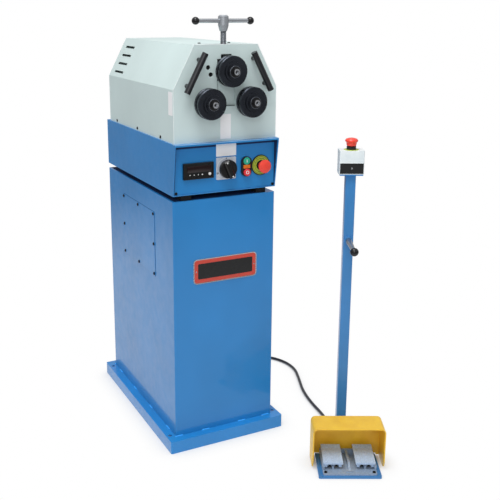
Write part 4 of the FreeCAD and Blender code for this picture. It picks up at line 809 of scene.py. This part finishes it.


# ---- plates, painted shade and painted fold highlights

class ROLLER_OT_plates(bpy.types.Operator):
    """Fix the blank plates, the painted shade strips and the painted fold highlights on stand,
    panel and head
    """
    bl_idname = "roller.plates"
    bl_label = "Plates, painted shade and highlights"

    def execute(self, context):
        self.badge()
        self.guide_holes()
        self.blanks()
        self.shade_strips()
        self.folds()
        return {'FINISHED'}

    def badge(self):
        """Framed plate with a coloured border round a dark field, held by two rivets."""
        front = span("stand_shell")[0].y
        low, high = Vector((-105, front - 1.6, 526)), Vector((108, front, 604))
        field_depth = 0.7
        metal = plate("badge_frame", low, high, 12, rim=3, depth=field_depth)
        fitted(eased(metal, 0.4, Y, -1, 2), "bright_bar")
        for name, inset, rise, corner, finish in (
                ("badge_border", 3.5, 0.35, 9, "badge_enamel"),
                ("badge_field", 15, 0.6, 4, "knob_black")):
            edge = Vector((inset, 0, inset))
            field = plate(name, low + edge + Vector((0, field_depth - rise, 0)),
                          high - edge - Vector((0, field_depth, 0)), corner)
            fitted(field, finish)
        rivet = eased(rod("rivet_pattern", 2, (0, 0, 0), (0, 0, 0.9), 16), 0.6, Z, 1)
        places = [(x, front - 1.2, 565) for x in (-95.5, 98.5)]
        for pin in copies(rivet, "badge_rivet", places, (0, -1, 0)):
            fitted(pin, "bright_bar")

    def guide_holes(self):
        """Dark discs behind the two round holes in the head's front cover: painted shade inside the
        holes.
        """
        frame_front = span("front_frame_plate")[0].y
        for count, (x, z) in enumerate(((-57, 1167), (-49, 1147)), 1):
            fitted(rod("guide_hole_%d" % count, 7, (x, frame_front - 2, z),
                       (x, frame_front, z)), "knob_black")

    def blanks(self):
        """Pale blank plates on the control panel, the head's front and its left flank."""
        panel, cover = span("control_panel")[0].y, span("front_cover")[0].y
        flank = span("head_cover")[0].x
        for name, low, high, axis in (
                ("panel_blank", (-29.5, panel - 0.5, 909), (35.5, panel, 949.5), Y),
                ("cover_blank", (-19, cover - 0.5, 961), (15, cover, 1033), Y),
                ("flank_blank", (flank - 0.5, -289, 1035), (flank, -259, 1101), X)):
            fitted(plate(name, low, high, 1.5, axis), "blank_plate")

    def shade_strips(self):
        """Painted shade: a dark sheet in the gap under the control box, a dark strip at the slide
        window's sill, strips along the panel's top and cheeks, and a rim round the hatch.
        """
        low, high = span("stand_shell")
        inset, gap_shade_right = 7, 138
        # Dark sheet on the stand's top: painted shade in the gap under the control box.
        fitted(block("gap_painted_shade", (low.x + inset, low.y + inset, high.z),
                     (gap_shade_right, high.y - inset, high.z + 0.8)), "navy_sheet")
        cover, sill, window = span("front_cover")[0].y, 1057, 29
        # Dark strip on the window's sill: painted shadow under the cover's edge.
        fitted(block("window_sill_shadow_strip", (-window, cover - 0.2, sill - 1.4),
                     (window, cover + 4.5, sill + 0.1)), "window_trim")
        low, high = span("control_panel")
        # Dark strip across the panel's top: painted shadow of the box's lip.
        fitted(block("panel_lip_shadow", (low.x, low.y - 0.3, high.z - 12.5),
                     (high.x, low.y, high.z)), "navy_sheet")
        box_low, box_high = span("control_box")
        cheek = box_low.x + 3.4
        # Dark rod along the left cheek's inner corner: painted shade.
        fitted(rod("cheek_shadow_left", 1.1, (cheek, box_low.y + 1, box_high.z - 8),
                   (cheek, box_low.y + 20.4, low.z), 12), "navy_sheet")
        # Dark sheet on the right cheek's inner face, widening to the top: painted shade.
        side = block("cheek_shade_right", (high.x - 0.4, low.y, low.z),
                     (high.x + 0.3, low.y + 1, high.z))
        for point in side.data.vertices:
            if point.co.z > (high.z - 1) * MM and point.co.y < (low.y + 0.1) * MM:
                point.co.y = (box_low.y + 3.2) * MM
        fitted(side, "navy_sheet")
        # Dark rim showing round the hatch's edges: painted shade in its seam.
        low, high = span("access_cover")
        rim = Vector((0, 0.9, 0.9))
        seam_shade = block("hatch_seal", low - rim, high + rim)
        for point in seam_shade.data.vertices:
            point.co.x = max(point.co.x, (high.x - 0.4) * MM)
        fitted(seam_shade, "hatch_sealant")

    def folds(self):
        """Pale rods on the rounded folds round the head's front and along the box's lip: painted
        highlights where the folds catch the light.
        """
        low, high = span("front_cover")
        ridge, shoulder, inset = 100, 1108, 0.5
        half = [(-high.x, low.z), (-high.x, shoulder), (-ridge, high.z)]
        outline = half + [(-x, z) for x, z in reversed(half)]
        for count, (start, end) in enumerate(zip(outline, outline[1:]), 1):
            fitted(rod("head_fold_%d" % count, 0.9, (start[0], low.y + inset, start[1]),
                       (end[0], low.y + inset, end[1]), 12), "fold_powder")
        low, high = span("control_box")
        fitted(rod("lip_fold_highlight", 1.1, (low.x, low.y + inset, high.z - inset),
                   (high.x, low.y + inset, high.z - inset), 12), "fold_enamel")


# ---- control panel

class ROLLER_OT_controls(bpy.types.Operator):
    """Fit the counter's face, the selector's marks, the lamp and the legends"""
    bl_idname = "roller.controls"
    bl_label = "Controls"

    def execute(self, context):
        self.counter()
        self.selector()
        self.buttons()
        self.panel_legend()
        self.call_legend()
        return {'FINISHED'}

    def counter(self):
        """Counter's front sheet, its window, four marked keys and a round one."""
        low, high = span("counter_housing")
        face, border = low.y + 2, 5.2
        fitted(plate("counter_face", (low.x + border, face - 0.5, low.z + border),
                     (high.x - border, face, high.z - border), 1), "knob_black")
        glass = plate("counter_window", (low.x + 12, face - 1.2, low.z + 20.5),
                      (high.x - 9, face - 0.4, high.z - 8.5), 1.2)
        fitted(eased(glass, 0.3, Y, -1, 2), "counter_glass")
        key_row = low.z + 13.5
        for count, across in enumerate((20, 33, 46, 59), 1):
            x = low.x + across
            key = tablet("counter_key_%d" % count, (x, face, key_row), 4, 3, 1.3, -0.4, 1.4)
            fitted(key, "knob_black")
            fitted(rod("key_mark_%d" % count, 2.3, (x, face - 1.5, key_row),
                       (x, face - 1.2, key_row), 3 if count < 4 else 4), "white_print")
        x = low.x + 83
        button = rod("counter_set_key", 4.4, (x, face - 1.6, key_row),
                     (x, face - 0.4, key_row), 28)
        fitted(eased(button, 0.5, Y, -1), "white_print")

    def selector(self):
        """White marks on the grip, dark ones on the plate and a ring round the knob."""
        tip, front = span("selector_knob")[0].y, span("selector_switch")[0].y
        centre = middle("selector_switch")
        lean = math.radians(24)
        for count, reach in enumerate((22, -22), 1):
            mark = tablet("grip_mark_%d" % count, (0, tip, 0), 2.6, 1.4, 0.25, 0.2, 1)
            moved(mark, (centre.x - reach * math.sin(lean), 0,
                         centre.z + reach * math.cos(lean)), (0, -lean, 0))
            fitted(mark, "white_print", "selector")
        for name, across, up, radius in (("position_mark_off", -28, -13, 2.9),
                                         ("position_mark_on", 0, 30.2, 2)):
            x, z = centre.x + across, centre.z + up
            mark = rod(name, radius, (x, front - 0.25, z), (x, front + 0.1, z), 20)
            fitted(mark, "black_moulding")
        skirt = ring("selector_skirt", 30.9, 0.6, (centre.x, front, centre.z), (0, 1, 0), 64)
        fitted(skirt, "white_print")

    def buttons(self):
        """Bar on the start button, loop on the stop button and the lamp between them."""
        start, stop = middle("start_button"), middle("stop_button")
        start.y, stop.y = span("start_button")[0].y, span("stop_button")[0].y
        bar = tablet("start_mark", start, 1.1, 4.5, 0.25, 0.2, 0.4)
        fitted(bar, "white_print", "start_button")
        centre = Vector((start.x, stop.y, stop.z))
        loop = ring("stop_mark", 4.4, 1, centre, (0, -1, 0), 32)
        choose(loop, lambda at, way: True)
        bpy.ops.transform.resize(value=(1, 0.3, 1), center_override=centre * MM)
        switch('OBJECT')
        fitted(loop, "white_print", "stop_button")
        seat = (start.x, span("button_bezel")[0].y, middle("counter_housing").z)
        lens = eased(tablet("lamp_lens", seat, 11, 5.2, 1.8, 0, 1.2), 0.9, Y, -1)
        choose(lens, lambda at, way: way.y > 0.99)
        bpy.ops.mesh.inset(thickness=2.4 * MM, depth=0)
        bpy.ops.mesh.extrude_region_move(TRANSFORM_OT_translate={"value": (0, 1.4 * MM, 0)})
        switch('OBJECT')
        fitted(lens, "amber_lens")

    def panel_legend(self):
        """Yellow disc with two rings round the panel's emergency stop."""
        centre = middle("panel_stop_collar")
        x, flange, z = centre.x, span("control_panel")[0].y - 3, centre.z
        disc = rod("panel_stop_legend", 28.2, (x, flange, z), (x, flange - 0.6, z), 64)
        bored(disc, rod("legend_tool", 15.3, (x, flange + 5, z), (x, flange - 5, z), 48))
        fitted(disc, "yellow_print")
        for name, radius in (("legend_ring_inner", 20.5), ("legend_ring_outer", 25.5)):
            circle = ring(name, radius, 0.7, (x, flange - 0.6, z), (0, 1, 0), 64)
            fitted(circle, "olive_print")

    def call_legend(self):
        """Yellow disc round the call box's emergency stop."""
        x, y, top = 4, 260, 926
        disc = rod("call_stop_legend", 22, (x, y, top), (x, y, top + 0.8), 64)
        bored(disc, rod("legend_tool", 14.3, (x, y, top - 5), (x, y, top + 5), 48))
        fitted(at_station(disc), "yellow_print")


# ---- feed screw and rollers

class ROLLER_OT_feed_thread(bpy.types.Operator):
    """Cut the feed screw's thread"""
    bl_idname = "roller.feed_thread"
    bl_label = "Feed thread"

    def execute(self, context):
        sizes = context.scene.roller_thread
        pitch, depth = sizes.pitch / MM, sizes.depth / MM
        low, high = span("feed_screw")
        x, y = (low.x + high.x) / 2, (low.y + high.y) / 2
        outer = (high.x - low.x) / 2
        root, journal, half_ridge = outer - depth, 10, pitch * 0.46
        core = rod("feed_screw_thread", root, (x, y, low.z), (x, y, high.z), 40)
        neck = rod("feed_journal", outer - 1, (x, y, low.z), (x, y, low.z + journal), 40)
        ridge = loop_beside("feed_ridge", root, half_ridge, 4)
        choose(ridge, lambda at, way: True, 'EDGE')
        bpy.ops.transform.resize(value=(depth / half_ridge, 1, 1),
                                 center_override=(root * MM, 0, 0))
        switch('OBJECT')
        wound(ridge, pitch, int((high.z - low.z - journal - pitch) / pitch), 28)
        moved(ridge, (x, y, low.z + journal + pitch / 2))
        fitted(joined(core, neck, ridge), "screw_steel", "feed_screw", 40)
        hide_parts("feed_screw")
        return {'FINISHED'}


class ROLLER_OT_washer_edges(bpy.types.Operator):
    """Set a lighter steel ring on the edge of the washer in front of each roller: a painted
    highlight
    """
    bl_idname = "roller.washer_edges"
    bl_label = "Washer edges"

    def execute(self, context):
        for roll in ROLLS:
            low, high = span(roll + "_bolt")
            centre = (low + high) / 2
            centre.y = span(roll + "_roller")[0].y - 3
            # A lighter steel ring: painted highlight on the washer's edge.
            edge = ring(roll + "_washer_highlight", (high.x - low.x) / 2 - 0.7, 0.75, centre,
                        (0, 1, 0), 48)
            fitted(edge, "washer_steel", roll + "_roll")
        return {'FINISHED'}


# ---- foot station

class ROLLER_OT_pedal_trim(bpy.types.Operator):
    """Rib the treadles and fit their return springs, the hood's rim and its grommet"""
    bl_idname = "roller.pedal_trim"
    bl_label = "Pedal trim"
    treadle_middle = 47.5

    def execute(self, context):
        for word, side in (("left", -1), ("right", 1)):
            self.ribs(word, side * self.treadle_middle)
            self.springs(word, side * self.treadle_middle)
        self.rim()
        grommet = ring("cable_grommet", 6.9, 1.7, (-25, 130, 28), (0, 1, 0), 32)
        fitted(at_station(grommet), "pad_rubber")
        return {'FINISHED'}

    def ribs(self, word, across):
        """Long ribs on the sole and short bars across its far end, in one piece."""
        first, between, count = -24, 6, 9
        sole, slope = (across, 27, 36), math.atan2(12, 83)
        rib = block("rib_pattern", (-0.9, 0, -0.4), (0.9, 58, 0.8))
        repeated(eased(rib, 0.4, Z, 1, 2), count, (between, 0, 0))
        moved(rib, (first, 4, 0))
        bar = block("bar_pattern", (-2.1, 0, -0.4), (2.1, 1.8, 1.1))
        repeated(eased(bar, 0.4, Z, 1, 2), count, (between, 0, 0))
        moved(repeated(bar, 4, (0, 4, 0)), (first, 66, 0))
        joined(rib, bar)
        rib.name = word + "_treadle_ribs"
        moved(rib, sole, (slope, 0, 0))
        fitted(at_station(rib), "treadle_casting", word + "_pedal")

    def springs(self, word, across):
        """Two return springs between the casting and one treadle's front."""
        pitch, turns = 1.75, 4
        for end, offset in (("inner", -10), ("outer", 10)):
            loop = loop_beside("%s_spring_%s" % (word, end), 5.2, 0.8, 8)
            start = (across + offset - pitch * turns / 2, 37, 24)
            spring = moved(wound(loop, pitch, turns, 20), start, aim((1, 0, 0)))
            fitted(at_station(spring), "fastener_black", angle=60)

    def rim(self):
        """Rolled bead round the hood's front opening."""
        side, floor_gap, top, corner, front = 105.2, 27, 132.2, 12.4, 45.6
        arc = [(side - corner + corner * math.sin(turn), top - corner + corner * math.cos(turn))
               for turn in (math.radians(90 - 15 * step) for step in range(7))]
        right = [(side, floor_gap)] + arc
        outline = right + [(-x, z) for x, z in reversed(right)]
        take(bar_along("hood_rim", 'POLY', [(x, front, z) for x, z in outline], 2.1, 3))
        bpy.ops.object.convert(target='MESH')
        fitted(at_station(bpy.context.active_object), "hood_plastic", angle=60)


# ---- stage

class ROLLER_OT_stage(bpy.types.Operator):
    """Set camera, floor, lamps and background, placed in metres"""
    bl_idname = "roller.stage"
    bl_label = "Stage"

    def execute(self, context):
        light = context.scene.roller_light
        self.camera(context)
        self.floor(light)
        head_height = (0, 0, 0.6)
        self.lamp("key_lamp", light.key, (-0.7, -1.0, 3.4), head_height, 1.6)
        self.lamp("fill_lamp", light.fill, (-1.7, -3.0, 2.1), head_height, 1.8)
        self.sky(context, light)
        context.scene.view_settings.view_transform = 'Standard'
        return {'FINISHED'}

    def camera(self, context):
        """Camera to the left of the machine's front, about as high as its top."""
        right, down, roll = 26.74, 13.91, 0.24
        lens = given(bpy.data.cameras.new("studio_camera"), sensor_width=36, lens=57.18,
                     shift_x=0.036, shift_y=-0.09, clip_end=50)
        stand = Matrix.Translation((-1.0131, -2.3463, 1.3290))
        for angle, axis in ((-right, 'Z'), (90 - down, 'X'), (roll, 'Z')):
            stand @= Matrix.Rotation(math.radians(angle), 4, axis)
        context.scene.camera = given(linked("studio_camera", lens), matrix_world=stand)

    def floor(self, light):
        floor = begun("studio_floor", bpy.ops.mesh.primitive_plane_add, size=24)
        floor.data.materials.append(floor_finish(tuple(light.floor), light.sweep))

    def lamp(self, name, power, place, target, size):
        """Round soft lamp at a place, turned towards its target."""
        lamp = given(bpy.data.lights.new(name, 'AREA'), shape='DISK', size=size, energy=power)
        way = Vector(target) - Vector(place)
        given(linked(name, lamp), location=place,
              rotation_euler=way.to_track_quat('-Z', 'Y').to_euler())

    def sky(self, context, light):
        """White to the camera; in gloss white overhead and dimmer towards the walls."""
        world = bpy.data.worlds.new("studio_sky")
        world.use_nodes = True
        sky = Nodes(world.node_tree)
        sky.tree.nodes.remove(sky.tree.nodes["Background"])
        lit = sky.white("ShaderNodeBackground", light.sky)
        shown = sky.white("ShaderNodeBackground")
        ray = sky.add("ShaderNodeLightPath").outputs
        way = sky.add("ShaderNodeTexCoord").outputs["Generated"]
        parts = sky.add("ShaderNodeSeparateXYZ", {"Vector": way})
        overhead = sky.spread(parts.outputs["Z"], 0.0, 0.8, 0.15, 0.75)
        in_gloss = sky.combine('MULTIPLY', ray["Is Glossy Ray"], overhead)
        sky.finish_with(sky.combine('MAXIMUM', ray["Is Camera Ray"], in_gloss),
                        lit.outputs["Background"], shown.outputs["Background"], "World Output")
        context.scene.world = world


# ---- panel and start

class ROLLER_PT_dressing(bpy.types.Panel):
    """Buttons for each group of pieces"""
    bl_idname = "ROLLER_PT_dressing"
    bl_label = "Ring Roller"
    bl_space_type = 'VIEW_3D'
    bl_region_type = 'UI'
    bl_category = "Ring Roller"

    def draw(self, context):
        for group in SETTINGS:
            settings = getattr(context.scene, group)
            box = self.layout.box()
            for name in settings.__annotations__:
                box.prop(settings, name)
        for step in STEPS:
            self.layout.operator(step.bl_idname)


SETTINGS = {
    "roller_paint": RollerPaint, "roller_cable": CableSizes,
    "roller_fasteners": FastenerSizes, "roller_thread": ThreadSizes,
    "roller_light": StageLight,
}
STEPS = (
    ROLLER_OT_finishes, ROLLER_OT_cable, ROLLER_OT_fasteners, ROLLER_OT_welds,
    ROLLER_OT_plates, ROLLER_OT_controls, ROLLER_OT_feed_thread, ROLLER_OT_washer_edges,
    ROLLER_OT_pedal_trim, ROLLER_OT_stage,
)


def register():
    for group in (*SETTINGS.values(), *STEPS, ROLLER_PT_dressing):
        bpy.utils.register_class(group)
    for name, group in SETTINGS.items():
        setattr(bpy.types.Scene, name, bpy.props.PointerProperty(type=group))


def unregister():
    for name in SETTINGS:
        delattr(bpy.types.Scene, name)
    for group in reversed((*SETTINGS.values(), *STEPS, ROLLER_PT_dressing)):
        bpy.utils.unregister_class(group)


def main():
    register()
    for step in STEPS:
        group, name = step.bl_idname.split(".")
        getattr(getattr(bpy.ops, group), name)()


if __name__ == "__main__":
    main()
